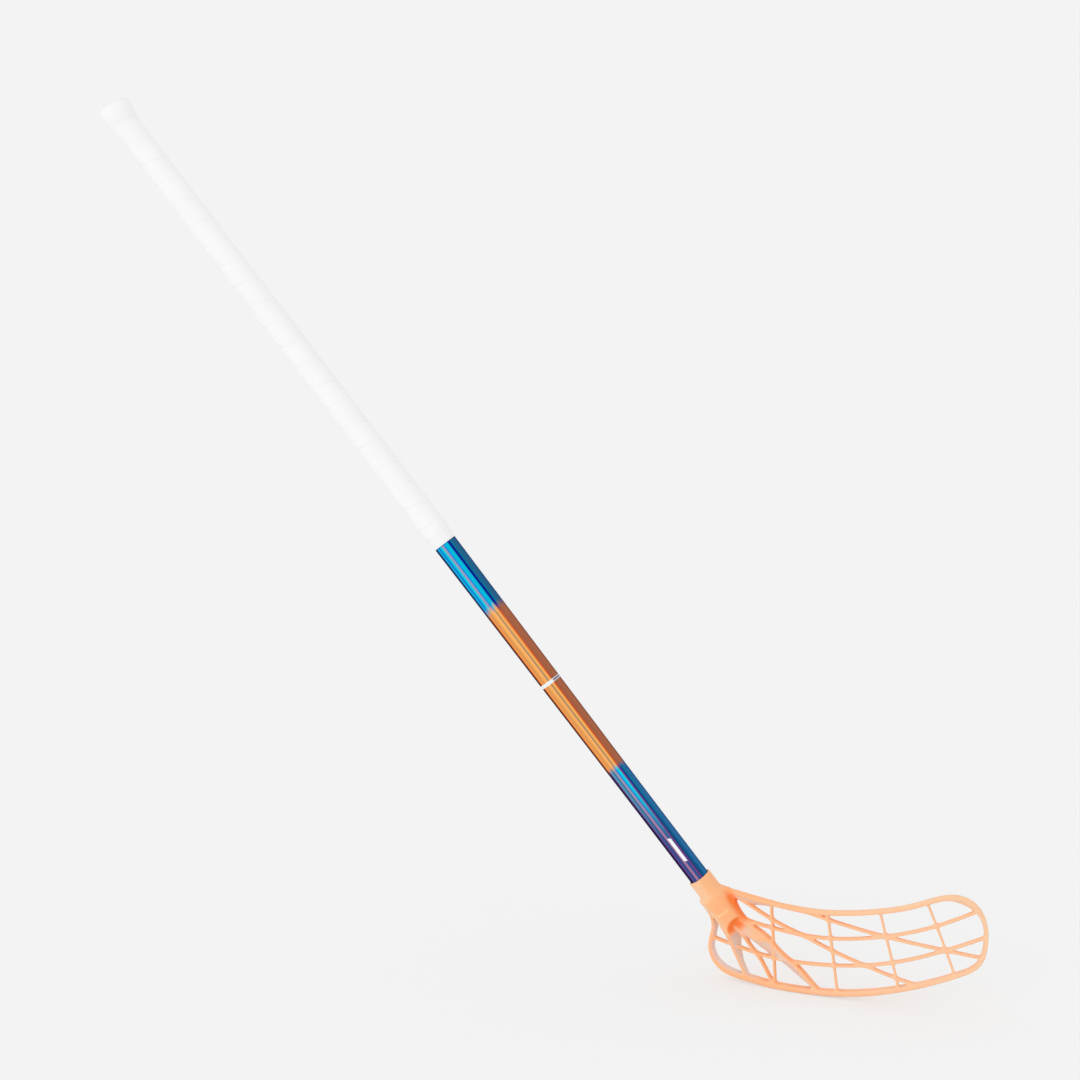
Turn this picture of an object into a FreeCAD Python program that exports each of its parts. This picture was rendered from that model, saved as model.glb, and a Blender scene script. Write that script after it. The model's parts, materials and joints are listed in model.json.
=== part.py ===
"""A floorball stick, in millimetres.

The stick is held in the playing pose: +Z is up, +X runs from the blade's heel to its toe, and the shaft leans
towards -X. The origin is on the shaft's axis in the middle of the upper hand's place on the grip.
Places along the shaft are stations: distances from the butt, measured down the shaft's axis.
"""
import FreeCAD, Part
import math
import os

from FreeCAD import Vector

# How the stick is held
lean_angle = 39.1               # degrees between the shaft and the vertical
hand_station = 120.0            # middle of the upper hand, at the origin

# Shaft
shaft_length = 960.0
shaft_grip_radius = 11.5        # under the grip
shaft_tip_radius = 9.65         # in the blade's socket
shaft_wall = 1.4
taper_lead = 3.0                # the taper starts this far above the grip's lower end
tip_length = 110.0              # straight part at the lower end
taper_knee_share = 0.33         # along the taper, where its first steeper part ends
taper_drop_share = 0.42         # of the whole drop in radius, reached at the knee

# Fits
layer_gap = 0.05                # between layers that lie on each other
seat_gap = 0.3                  # between a soft piece and the piece that carries it
cut_overrun = 5.0               # how far a cutting shape passes the face that it cuts
edge_tolerance = 0.02           # how closely an edge's height has to match when it is picked

# Butt: plug and knob
plug_head_thickness = 3.0
plug_head_rounding = 0.8
plug_length = 26.0
plug_wall = 2.0
knob_radius = 16.3              # outside the grip strip
knob_head_length = 8.0
knob_flare_length = 17.0

# Grip: underlay, wound strip and ribbed finishing band
grip_end_station = 508.0
underlay_thickness = 0.3
strip_thickness = 1.1
strip_gap = 0.7                 # along the axis, between one turn and the next
strip_start_width = 1.2         # the strip is cut to a point at the butt
strip_start_angle = 58.0        # degrees about the shaft from its upper side, where that point lies
strip_turns = 22
strip_panels = 4                # straight panels across the strip's width
quarters_per_turn = 4
band_length = 12.0
band_end_thickness = 0.35
band_ridges = 5
band_ridge_height = 0.35
ridge_rise_share = 1 / 3        # of a ridge's pitch, where its crest starts
ridge_fall_share = 2 / 3        # of a ridge's pitch, where its crest ends
ridge_fade_share = 0.5          # of a ridge's height, lost by the band's lower edge

# Blade: the lattice's overall size and hook
blade_length = 262.5
blade_height = 104.0
heel_reach = 17.5               # the heel stands behind the shaft's lower end
sole_drop = 66.0                # the sole's lowest point lies below the shaft's lower end
hook_depth = 26.0               # how far the middle of the blade bulges out of its chord
heel_setback = 10.0             # the heel and toe lie behind the shaft's axis

# Blade: rim and ribs
rim_width = 6.4                 # along the sole, where it is widest
rim_depth = 8.0
rib_depth = 5.2
brace_depth = 7.5
web_depth = 4.5
rib_width = 2.5
rail_width = 3.0
brace_width = 4.2
spine_width = 6.6
spine_root_width = 15.0
flank_width = 10.0

# Blade: socket
insertion_depth = 43.0          # of the shaft in the socket
collar_length = 21.0
socket_length = 58.0
socket_wall = 1.55
shoulder_step = 1.1
socket_end_rounding = 4.0
bore_end_gap = 0.3

# Tape and screw that hold the blade on the shaft
tape_thickness = 0.25
tape_margin = 3.0               # from the tape's edges to the mouth and to the shaft's end
screw_drop = 13.0               # from the socket's mouth to the screw
screw_shank_radius = 1.25
screw_head_radius = 2.75
screw_head_height = 1.6
screw_reach = 2.5               # past the inside of the shaft's wall
screw_recess_radius = 0.9
screw_recess_depth = 0.9

# Blade outline, from the shoulder on the heel side round the heel, sole and toe to the top of the socket:
# shares of the blade's length and height, and of the rim's full width
outline_shares = [
    (-0.039, 0.68, 0.6), (0.005, 0.545, 0.7), (0.0, 0.268, 0.75), (0.036, 0.093, 0.9), (0.162, 0.021, 1.0),
    (0.348, 0.0, 1.0), (0.529, 0.028, 1.0), (0.67, 0.086, 1.0), (0.806, 0.173, 0.95), (0.906, 0.255, 0.85),
    (0.972, 0.345, 0.75), (1.0, 0.535, 0.7), (0.985, 0.777, 0.75), (0.944, 0.928, 0.8), (0.895, 0.998, 0.75),
    (0.831, 0.998, 0.7), (0.76, 0.939, 0.65), (0.625, 0.864, 0.65), (0.484, 0.817, 0.65), (0.343, 0.806, 0.7),
    (0.192, 0.84, 0.8), (0.031, 0.871, 0.9),
]

# Ribs: centre lines in shares of the blade's length and height
post_shares = [
    [(0.234, 0.82), (0.242, 0.442), (0.255, 0.02)],
    [(0.439, 0.81), (0.454, 0.535), (0.483, 0.02)],
    [(0.628, 0.86), (0.65, 0.628), (0.672, 0.391), (0.7, 0.085)],
    [(0.785, 0.95), (0.82, 0.736), (0.853, 0.52), (0.89, 0.25)],
]
rail_shares = [
    [(0.137, 0.607), (0.237, 0.582), (0.344, 0.55), (0.453, 0.551), (0.6, 0.594), (0.7, 0.645),
     (0.824, 0.736), (0.965, 0.88)],
    [(0.005, 0.36), (0.157, 0.31), (0.257, 0.288), (0.418, 0.298), (0.559, 0.326), (0.68, 0.381),
     (0.854, 0.505), (0.995, 0.625)],
    [(0.076, 0.813), (0.235, 0.658), (0.344, 0.561), (0.458, 0.441), (0.579, 0.329), (0.686, 0.224),
     (0.78, 0.15)],
    [(0.318, 0.8), (0.445, 0.727), (0.654, 0.613), (0.854, 0.505), (0.985, 0.41)],
]
heel_brace_shares = [(0.031, 0.504), (0.071, 0.386), (0.1, 0.257), (0.145, 0.02)]
thin_brace_shares = [(0.086, 0.535), (0.138, 0.403), (0.185, 0.284), (0.249, 0.02)]
spine_shares = [(0.102, 0.638), (0.175, 0.539), (0.241, 0.407), (0.31, 0.274), (0.413, 0.015)]
spine_width_shares = [1.0, 0.6, 0.2, 0.05, 0.0]     # of the widening at the spine's root
flank_shares = [(0.026, 0.844), (0.076, 0.782), (0.117, 0.669), (0.167, 0.561)]

# Sizes that follow from the driving ones
taper_start_station = grip_end_station - taper_lead
taper_end_station = shaft_length - tip_length
mouth_station = shaft_length - insertion_depth
screw_station = mouth_station + screw_drop
shaft_bore_radius = shaft_grip_radius - shaft_wall
tip_bore_radius = shaft_tip_radius - shaft_wall
knob_length = knob_head_length + knob_flare_length
underlay_radius = shaft_grip_radius + layer_gap + underlay_thickness
strip_inner_radius = underlay_radius + layer_gap
grip_radius = strip_inner_radius + strip_thickness
knob_inner_radius = knob_radius - strip_thickness
plug_head_radius = knob_inner_radius - seat_gap
strip_pitch = (grip_end_station - strip_start_width) / (strip_turns - 1)
tape_inner_radius = shaft_tip_radius + layer_gap
socket_bore_radius = tape_inner_radius + tape_thickness + layer_gap
collar_radius = socket_bore_radius + socket_wall
socket_radius = collar_radius + shoulder_step
screw_hole_radius = screw_shank_radius + layer_gap
hook_radius = (blade_length ** 2 / 4 + hook_depth ** 2) / (2 * hook_depth)

axis_down = Vector(math.sin(math.radians(lean_angle)), 0, -math.cos(math.radians(lean_angle)))
tip_place = axis_down * (shaft_length - hand_station)
heel_x = tip_place.x - heel_reach
sole_z = tip_place.z - sole_drop
hook_centre = Vector(heel_x + blade_length / 2, heel_setback - hook_depth + hook_radius, 0)


def level(station):
    """Height of a station in the upright shaft's own frame, whose origin is the hand's place."""
    return hand_station - station


def lean(shape):
    """Turn a shape made upright on the Z axis into the shaft's leaning pose."""
    shape.rotate(Vector(0, 0, 0), Vector(0, 1, 0), -lean_angle)
    return shape


def turned(profile):
    """Solid of revolution about Z; the profile is a list of (radius, station) corners."""
    corners = [Vector(radius, 0, level(station)) for radius, station in profile]
    face = Part.Face(Part.makePolygon(corners + corners[:1]))
    return face.revolve(Vector(0, 0, 0), Vector(0, 0, 1), 360)


def ray_cylinder(radius, start, end, station):
    """Upright-frame cylinder along +Y at a station, from one distance to another off the shaft's axis."""
    return Part.makeCylinder(radius, end - start, Vector(0, start, level(station)), Vector(0, 1, 0))


def make_shaft_tube():
    """Hollow tube: straight under the grip, a taper in two slopes, straight again in the socket."""
    knee_station = taper_start_station + taper_knee_share * (taper_end_station - taper_start_station)
    knee_drop = taper_drop_share * (shaft_grip_radius - shaft_tip_radius)
    top = plug_head_thickness
    outside = [(shaft_grip_radius, top), (shaft_grip_radius, taper_start_station),
               (shaft_grip_radius - knee_drop, knee_station), (shaft_tip_radius, taper_end_station),
               (shaft_tip_radius, shaft_length)]
    inside = [(radius - shaft_wall, station) for radius, station in reversed(outside)]
    tube = turned(outside + inside)
    return tube.cut(ray_cylinder(screw_hole_radius, 0, shaft_tip_radius + cut_overrun, screw_station))


def make_end_plug():
    """Cup-shaped plug in the top of the tube, with a head that closes the butt."""
    stem_radius = shaft_bore_radius - layer_gap
    plug = turned([(0, 0), (plug_head_radius, 0), (plug_head_radius, plug_head_thickness),
                   (stem_radius, plug_head_thickness), (stem_radius, plug_length),
                   (stem_radius - plug_wall, plug_length), (stem_radius - plug_wall, plug_head_thickness),
                   (0, plug_head_thickness)])
    rim = [edge for edge in plug.Edges
           if abs(edge.BoundBox.ZMin - level(0)) < edge_tolerance and edge.BoundBox.XMax > stem_radius]
    return plug.makeFillet(plug_head_rounding, rim)


def knob_profile_radius(station):
    """Inner radius of the grip strip: straight over the knob's head, a cone below it, then the grip."""
    down_flare = (station - knob_head_length) / knob_flare_length
    down_flare = min(max(down_flare, 0), 1)
    return knob_inner_radius + (strip_inner_radius - knob_inner_radius) * down_flare


def make_knob_sleeve():
    """Flared ring on the tube's top end that shapes the knob under the strip."""
    inner = shaft_grip_radius + layer_gap
    head = knob_inner_radius - seat_gap
    foot = max(strip_inner_radius - seat_gap, inner + layer_gap)
    return turned([(inner, plug_head_thickness), (head, plug_head_thickness), (head, knob_head_length),
                   (foot, knob_length - seat_gap), (inner, knob_length - seat_gap)])


def make_grip_underlay():
    """Thin backing sleeve between the tube and the wound strip."""
    inner = shaft_grip_radius + layer_gap
    return turned([(inner, knob_length), (underlay_radius, knob_length),
                   (underlay_radius, grip_end_station), (inner, grip_end_station)])


def strip_lower_station(turns):
    """Station of the strip's lower edge: it winds down steadily and is cut square at the grip's end."""
    return min(strip_start_width + strip_pitch * turns, grip_end_station)


def strip_upper_station(turns):
    """Station of the strip's upper edge: it leaves the butt in the first turn, then follows the last turn."""
    if turns < 1:
        return (strip_start_width + strip_gap) * turns
    return strip_lower_station(turns - 1) + strip_gap


def strip_corners(quarter):
    """Stations across the strip after a number of quarter turns, with the inner radius at each."""
    turns = quarter / quarters_per_turn
    upper = strip_upper_station(turns)
    width = strip_lower_station(turns) - upper
    stations = [upper + width * panel / strip_panels for panel in range(strip_panels + 1)]
    return [(station, knob_profile_radius(station)) for station in stations]


def strip_angle(quarter):
    """Angle about the shaft after a number of quarter turns; the strip winds left-handed."""
    return math.radians(strip_start_angle) + 2 * math.pi * quarter / quarters_per_turn


def strip_point(quarter, station, radius):
    angle = strip_angle(quarter)
    return Vector(radius * math.cos(angle), radius * math.sin(angle), level(station))


def quarter_turn(quarter, start, end):
    """Cubic curve through a quarter turn; start and end are (station, radius)."""
    turn = strip_angle(quarter + 1) - strip_angle(quarter)
    handle = math.tan(turn / 4) * 4 / 3
    first = strip_point(quarter, *start)
    last = strip_point(quarter + 1, *end)
    growth = (end[1] - start[1]) / 3
    climb = Vector(0, 0, (level(end[0]) - level(start[0])) / 3)
    out_first = Vector(math.cos(strip_angle(quarter)), math.sin(strip_angle(quarter)), 0)
    out_last = Vector(math.cos(strip_angle(quarter + 1)), math.sin(strip_angle(quarter + 1)), 0)
    round_first = Vector(-out_first.y, out_first.x, 0)
    round_last = Vector(-out_last.y, out_last.x, 0)
    curve = Part.BezierCurve()
    curve.setPoles([first, first + round_first * handle * start[1] + out_first * growth + climb,
                    last - round_last * handle * end[1] - out_last * growth - climb, last])
    return curve.toShape()


def make_grip_strip():
    """One unbroken strip wound over the knob and the underlay, in ruled panels of a quarter turn each."""
    quarters = strip_turns * quarters_per_turn - 1
    faces = []
    upper_edges = []
    lower_edges = []
    for quarter in range(quarters):
        start = strip_corners(quarter)
        end = strip_corners(quarter + 1)
        inner = [quarter_turn(quarter, a, b) for a, b in zip(start, end)]
        outer = [quarter_turn(quarter, (a[0], a[1] + strip_thickness), (b[0], b[1] + strip_thickness))
                 for a, b in zip(start, end)]
        for panel in range(strip_panels):
            faces.append(Part.makeRuledSurface(inner[panel], inner[panel + 1]))
            faces.append(Part.makeRuledSurface(outer[panel], outer[panel + 1]))
        faces.append(Part.makeRuledSurface(inner[0], outer[0]))
        faces.append(Part.makeRuledSurface(inner[-1], outer[-1]))
        upper_edges.append(inner[0])
        lower_edges.append(inner[-1])
    for quarter in (0, quarters):
        corners = strip_corners(quarter)
        ring = [strip_point(quarter, station, radius) for station, radius in corners]
        ring += [strip_point(quarter, station, radius + strip_thickness)
                 for station, radius in reversed(corners)]
        faces.append(Part.Face(Part.makePolygon(ring + ring[:1])))
    shell = Part.Shell(faces)
    shell.sewShape()
    strip = Part.Solid(shell)
    if strip.Volume < 0:
        strip.reverse()
    print_strip_gap(upper_edges, lower_edges)
    return strip


def print_strip_gap(upper_edges, lower_edges):
    """Least distance between each turn's lower edge and the next turn's upper edge, measured on points."""
    samples_per_edge = 7
    gaps = []
    for index in range(len(lower_edges) - quarters_per_turn):
        above = lower_edges[index].discretize(samples_per_edge)
        below = upper_edges[index + quarters_per_turn].discretize(samples_per_edge)
        gaps.append(min(a.distanceToPoint(b) for a in above for b in below))
    print("grip strip:", strip_turns - 1 / quarters_per_turn, "turns, least gap to itself",
          round(min(gaps), 3), "mm")


def shaft_radius_at(station):
    """Outside radius of the shaft at a station on the first slope of its taper."""
    knee_length = taper_knee_share * (taper_end_station - taper_start_station)
    knee_drop = taper_drop_share * (shaft_grip_radius - shaft_tip_radius)
    return shaft_grip_radius - knee_drop * max(station - taper_start_station, 0) / knee_length


def make_grip_band():
    """Rubber band on the tube below the strip, with ridges round it, thinning to its lower edge."""
    inner = shaft_grip_radius + layer_gap
    top_station = grip_end_station + seat_gap
    end_station = grip_end_station + band_length
    end_radius = shaft_radius_at(end_station) + layer_gap + band_end_thickness
    groove_radius = grip_radius - band_ridge_height
    ridge_pitch = (end_station - top_station) / band_ridges
    profile = [(inner, end_station), (inner, top_station)]
    for ridge in range(band_ridges):
        start = top_station + ridge * ridge_pitch
        for pitch_share in (0, ridge_rise_share, ridge_fall_share):
            station = start + pitch_share * ridge_pitch
            down_share = (station - top_station) / (end_station - top_station)
            root = groove_radius + (end_radius - groove_radius) * down_share
            lift = band_ridge_height * (1 - ridge_fade_share * down_share) if pitch_share else 0
            profile.append((root + lift, station))
    profile.append((end_radius, end_station))
    return turned(profile)


def blade_point(shares):
    """Point in the blade's upright plane from shares of the blade's length and height."""
    return Vector(heel_x + shares[0] * blade_length, 0, sole_z + shares[1] * blade_height)


def side_directions(points):
    """Unit direction square to a line of points in the XZ plane, on its right-hand side, at each point."""
    sides = []
    for index in range(len(points)):
        along = points[min(index + 1, len(points) - 1)] - points[max(index - 1, 0)]
        sides.append(Vector(along.z, 0, -along.x).normalize())
    return sides


def smooth_edge(points):
    """Smooth curve through points."""
    curve = Part.BSplineCurve()
    curve.interpolate(points)
    return curve.toShape()


def band_face(first_side, second_side):
    """Flat face between two smooth curves that run side by side."""
    first_edge = smooth_edge(first_side)
    second_edge = smooth_edge(second_side)
    start_edge = Part.makeLine(first_side[0], second_side[0])
    end_edge = Part.makeLine(first_side[-1], second_side[-1])
    return Part.Face(Part.Wire(Part.__sortEdges__([first_edge, end_edge, second_edge, start_edge])))


def outline_face():
    """Flat face of the whole blade, closed by a straight line under the socket."""
    outline = [blade_point(shares) for shares in outline_shares]
    return Part.Face(Part.Wire([smooth_edge(outline), Part.makeLine(outline[-1], outline[0])]))


def rim_face():
    """Flat face of the rim: the outline, and the same line moved inwards by the rim's width at each point."""
    outline = [blade_point(shares) for shares in outline_shares]
    inner_line = [point - side * rim_width * shares[2]
                  for point, side, shares in zip(outline, side_directions(outline), outline_shares)]
    return band_face(outline, inner_line)


def rib_face(shares, widths):
    """Flat face of a rib along a centre line, with its own width at each point, cut off at the outline."""
    points = [blade_point(pair) for pair in shares]
    sides = side_directions(points)
    left = [point - side * (width / 2) for point, side, width in zip(points, sides, widths)]
    right = [point + side * (width / 2) for point, side, width in zip(points, sides, widths)]
    return band_face(left, right).common(outline_face()).Faces[0]


def even_rib(shares, width):
    return rib_face(shares, [width] * len(shares))


def hooked(faces, depth):
    """Flat faces pressed through the hook: drawn along Y and kept within a curved wall of a given depth."""
    front = heel_setback - hook_depth - rim_depth - cut_overrun
    back = hook_centre.y
    base = Vector(hook_centre.x, hook_centre.y, sole_z - cut_overrun)
    wall_height = blade_height + 2 * cut_overrun
    wall = Part.makeCylinder(hook_radius + depth / 2, wall_height, base)
    wall = wall.cut(Part.makeCylinder(hook_radius - depth / 2, wall_height, base))
    pieces = []
    for face in faces:
        face.translate(Vector(0, front, 0))
        pieces.append(face.extrude(Vector(0, back - front, 0)).common(wall))
    return pieces


def make_blade():
    """One moulding: hooked rim and lattice, and a socket on the shaft's axis with its bore and screw hole."""
    pieces = hooked([rim_face()], rim_depth)
    pieces += hooked([even_rib(shares, rib_width) for shares in post_shares], rib_depth)
    pieces += hooked([even_rib(shares, rail_width) for shares in rail_shares], rib_depth)
    spine_widths = [spine_width + (spine_root_width - spine_width) * share for share in spine_width_shares]
    braces = [even_rib(heel_brace_shares, brace_width), even_rib(thin_brace_shares, rib_width),
              rib_face(spine_shares, spine_widths)]
    pieces += hooked(braces, brace_depth)
    pieces += hooked([even_rib(flank_shares, flank_width)], web_depth)
    pieces.append(lean(make_socket()))
    blade = pieces[0].multiFuse(pieces[1:]).removeSplitter()
    bore_end = shaft_length + bore_end_gap
    bore = turned([(0, mouth_station - cut_overrun), (socket_bore_radius, mouth_station - cut_overrun),
                   (socket_bore_radius, bore_end), (0, bore_end)])
    screw_hole = ray_cylinder(screw_hole_radius, 0, socket_radius + cut_overrun, screw_station)
    return blade.cut(lean(bore.fuse(screw_hole)))


def make_socket():
    """Round body of the socket: a collar at the mouth, a shoulder, and a rounded lower end."""
    shoulder_station = mouth_station + collar_length
    end_station = mouth_station + socket_length
    socket = turned([(0, mouth_station), (collar_radius, mouth_station), (collar_radius, shoulder_station),
                     (socket_radius, shoulder_station), (socket_radius, end_station), (0, end_station)])
    rim = [edge for edge in socket.Edges
           if abs(edge.BoundBox.ZMax - level(end_station)) < edge_tolerance
           and edge.BoundBox.XMax > collar_radius]
    return socket.makeFillet(socket_end_rounding, rim)


def make_blade_tape():
    """Tape sleeve that fills the play between the shaft and the socket's bore."""
    outer = tape_inner_radius + tape_thickness
    top = mouth_station + tape_margin
    end = shaft_length - tape_margin
    tape = turned([(tape_inner_radius, top), (outer, top), (outer, end), (tape_inner_radius, end)])
    return tape.cut(ray_cylinder(screw_hole_radius, 0, outer + cut_overrun, screw_station))


def make_blade_screw():
    """Self-tapping screw through the walls of socket and shaft, its head on the socket, with a recess."""
    head_seat = collar_radius + layer_gap
    head_top = head_seat + screw_head_height
    point = tip_bore_radius - screw_reach
    screw = ray_cylinder(screw_shank_radius, point, head_top, screw_station)
    screw = screw.fuse(ray_cylinder(screw_head_radius, head_seat, head_top, screw_station))
    recess_floor = head_top - screw_recess_depth
    recess = ray_cylinder(screw_recess_radius, recess_floor, head_top + cut_overrun, screw_station)
    return screw.cut(recess).removeSplitter()


def build():
    """Make every piece and write it as its own file."""
    os.makedirs("parts", exist_ok=True)
    pieces = {
        "shaft_tube": lean(make_shaft_tube()),
        "end_plug": lean(make_end_plug()),
        "knob_sleeve": lean(make_knob_sleeve()),
        "grip_underlay": lean(make_grip_underlay()),
        "grip_strip": lean(make_grip_strip()),
        "grip_band": lean(make_grip_band()),
        "blade": make_blade(),
        "blade_tape": lean(make_blade_tape()),
        "blade_screw": lean(make_blade_screw()),
    }
    for name, shape in pieces.items():
        print(name, "solids", len(shape.Solids), "valid", shape.isValid(), "volume", round(shape.Volume))
        shape.exportStep("parts/" + name + ".step")


build()
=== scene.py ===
# %% [markdown]
# # A floorball stick, dressed piece by piece
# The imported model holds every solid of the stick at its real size. This lesson keeps those solids where
# they are and lays finished surfaces over them: a lacquered shaft, a wound grip and a moulded blade.
# Everything is in metres. Places along the shaft are stations, which are distances from its butt.

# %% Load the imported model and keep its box
import itertools
import json
import math

import bmesh
import bpy
import numpy as np
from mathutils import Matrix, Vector


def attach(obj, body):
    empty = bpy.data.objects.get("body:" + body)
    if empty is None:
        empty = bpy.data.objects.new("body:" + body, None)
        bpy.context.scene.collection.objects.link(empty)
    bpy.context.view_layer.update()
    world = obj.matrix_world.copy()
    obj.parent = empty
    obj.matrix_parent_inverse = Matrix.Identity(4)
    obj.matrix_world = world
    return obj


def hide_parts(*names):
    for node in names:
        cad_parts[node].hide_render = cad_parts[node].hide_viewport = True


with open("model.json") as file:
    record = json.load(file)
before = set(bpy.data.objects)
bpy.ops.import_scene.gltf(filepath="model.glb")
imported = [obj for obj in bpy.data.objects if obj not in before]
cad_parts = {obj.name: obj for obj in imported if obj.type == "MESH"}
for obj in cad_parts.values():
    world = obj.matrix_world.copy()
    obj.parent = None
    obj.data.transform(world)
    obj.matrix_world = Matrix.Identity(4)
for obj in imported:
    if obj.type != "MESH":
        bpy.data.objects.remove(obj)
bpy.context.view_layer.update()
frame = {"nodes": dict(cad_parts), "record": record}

# %% [markdown]
# ## Directions along and across the shaft
# Most pieces of a stick are round about one leaning axis, so it pays to give that axis its own
# directions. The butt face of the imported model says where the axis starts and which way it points.
# Reading it from there, instead of typing it again, keeps the surfaces on the solids when the solids
# change.

# %% The shaft's own directions and a point about its axis
mounts = {mount["name"]: mount for mount in frame["record"]["mounts"]}
butt = np.array(mounts["butt_face"]["pos_m"])
down_shaft = -np.array(mounts["butt_face"]["axis"])
across_shaft = np.array([-down_shaft[2], 0.0, down_shaft[0]])
behind_shaft = np.array([0.0, 1.0, 0.0])
print_angle = math.radians(-69.7)       # the printed side, measured about the shaft from its upper side


def around(angle, radius, station):
    """Point at an angle about the shaft: butt + station * axis + radius * (cos * across + sin * behind)."""
    angle, radius, station = np.broadcast_arrays(angle, radius, station)
    out = np.cos(angle)[..., None] * across_shaft + np.sin(angle)[..., None] * behind_shaft
    return butt + station[..., None] * down_shaft + radius[..., None] * out


def node_span(node):
    """First station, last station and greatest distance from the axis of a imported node."""
    mesh = frame["nodes"][node].data
    corners_at = np.empty(len(mesh.vertices) * 3, np.float32)
    mesh.vertices.foreach_get("co", corners_at)
    from_butt = corners_at.reshape(-1, 3) - butt
    stations = from_butt @ down_shaft
    off_axis = np.linalg.norm(from_butt - stations[:, None] * down_shaft, axis=1)
    return float(stations.min()), float(stations.max()), float(off_axis.max())


shaft_top, shaft_end, shaft_radius = node_span("shaft_tube")
grip_end, knob_radius = node_span("grip_strip")[1:]
band_top, band_end = node_span("grip_band")[:2]
shaft_foot = butt + down_shaft * shaft_end
print("stations: shaft to", round(shaft_end, 4), "grip to", round(grip_end, 4),
      "band to", round(band_end, 4))

# %% [markdown]
# ## The camera
# The photograph was taken from a little above and to the right of the blade, with a longish lens. The
# place was worked out once from the shaft's length, its lean and how the view draws the blade's outline
# together.

# %% Camera
camera_place = Vector((0.9880, -2.2398, 0.2202))
camera_aim = Vector((0.3385, 0.0254, -0.3074))
camera_data = bpy.data.cameras.new("camera")
camera_data.lens = 85
camera_data.sensor_width = 36
camera_data.clip_end = 400
camera = bpy.data.objects.new("camera", camera_data)
camera.location = camera_place
camera.rotation_euler = (camera_aim - camera_place).to_track_quat("-Z", "Y").to_euler()
bpy.context.scene.collection.objects.link(camera)
bpy.context.scene.camera = camera
print("camera looks from", round((camera_aim - camera_place).length, 3), "m away")

# %% [markdown]
# ## Shader maths as plain sums
# A finish is a small sum of masks and colours. Written node by node it is hard to read, so one small
# class wraps a socket: adding, subtracting, multiplying or dividing such sockets makes the Math nodes
# behind the scenes. Colours go through a Mix node instead, because a Math node would turn them grey.


# %% A socket that can be used in sums
class Wire:
    """A shader socket; each operator adds one Math node, and node() adds any other node."""

    def __init__(self, tree, socket=None):
        self.tree = tree
        self.socket = socket

    def node(self, kind, settings=None, inputs=None, output=0):
        """Add a node: its settings first, then a value or a Wire for each named or numbered socket."""
        made = self.tree.nodes.new(kind)
        for name, value in (settings or {}).items():
            if name == "stops":
                ramp = made.color_ramp.elements
                for place, colour in value[1:-1]:
                    ramp.new(place).color = colour
                ramp[0].position, ramp[0].color = value[0]
                ramp[len(ramp) - 1].position, ramp[len(ramp) - 1].color = value[-1]
            else:
                setattr(made, name, value)
        for key, value in (inputs or {}).items():
            if isinstance(value, Wire):
                self.tree.links.new(value.socket, made.inputs[key])
            else:
                made.inputs[key].default_value = value
        return Wire(self.tree, made.outputs[output] if made.outputs else None)

    def maths(self, operation, first, second=0.0):
        """One Math node on one or two values."""
        return self.node("ShaderNodeMath", {"operation": operation}, {0: first, 1: second})

    def __add__(self, other):
        return self.maths("ADD", self, other)

    def __radd__(self, other):
        return self.maths("ADD", other, self)

    def __sub__(self, other):
        return self.maths("SUBTRACT", self, other)

    def __rsub__(self, other):
        return self.maths("SUBTRACT", other, self)

    def __mul__(self, other):
        return self.maths("MULTIPLY", self, other)

    def __rmul__(self, other):
        return self.maths("MULTIPLY", other, self)

    def __truediv__(self, other):
        return self.maths("DIVIDE", self, other)

    def __rtruediv__(self, other):
        return self.maths("DIVIDE", other, self)

    def step(self, start, end):
        """0 before start, 1 after end, and a smooth rise between them."""
        return self.node("ShaderNodeMapRange", {"interpolation_type": "SMOOTHSTEP"},
                         {0: self, 1: start, 2: end})

    def between(self, start, end, blur):
        """1 from start to end and 0 outside, with both edges blurred."""
        return self.step(start - blur, start + blur) * (1 - self.step(end - blur, end + blur))

    def mix(self, first, second):
        """Colour that goes from first to second as this value goes from 0 to 1."""
        return self.node("ShaderNodeMix", {"data_type": "RGBA"}, {0: self, 6: first, 7: second}, 2)

    def place(self):
        """The object's own coordinates, in metres."""
        return self.node("ShaderNodeTexCoord", output="Object")

    def surface(self):
        """The two values of the piece's own UV map."""
        uv = self.node("ShaderNodeUVMap", {"uv_map": "surface"})
        first = self.node("ShaderNodeSeparateXYZ", None, {0: uv})
        return first, Wire(self.tree, first.socket.node.outputs[1])

    def noise(self, scale, detail=2.0, vector=None):
        """Noise in cycles per metre on the object's own coordinates, or on another vector."""
        return self.node("ShaderNodeTexNoise", None,
                         {"Vector": vector or self.place(), "Scale": scale, "Detail": detail})

    def bump(self, strength, distance):
        """Normal of a surface that this value raises, at most by the distance in metres."""
        return self.node("ShaderNodeBump", None,
                         {"Strength": strength, "Distance": distance, "Height": self})


# %% Colours and finishes
def paint(red, green, blue):
    """Linear colour of a screen colour whose three values run from 0 to 255."""
    screen = np.array([red, green, blue]) / 255
    linear = np.where(screen <= 0.04045, screen / 12.92, ((screen + 0.055) / 1.055) ** 2.4)
    return (*linear.tolist(), 1.0)


def new_finish(name, constants):
    """A material with one Principled shader; constants go straight onto its sockets."""
    material = bpy.data.materials.new(name)
    material.use_nodes = True
    shader = material.node_tree.nodes["Principled BSDF"]
    for key, value in constants.items():
        shader.inputs[key].default_value = value
    return material, shader, Wire(material.node_tree)


def feed(shader, inputs):
    """Link what changes over the surface to the shader's sockets."""
    for key, wire in inputs.items():
        wire.tree.links.new(wire.socket, shader.inputs[key])


print("middle grey is", [round(value, 3) for value in paint(128, 128, 128)[:3]])

# %% [markdown]
# ## From a grid of points to a mesh
# A turned or wound piece is a grid: one direction runs along a profile, the other round or along the
# shaft. Blender wants a list of corners and a list of faces. The grid's first and last columns meet, and
# a profile that ends on the axis meets itself in one point, so doubles are merged and the faces then
# turned outwards.


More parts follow.
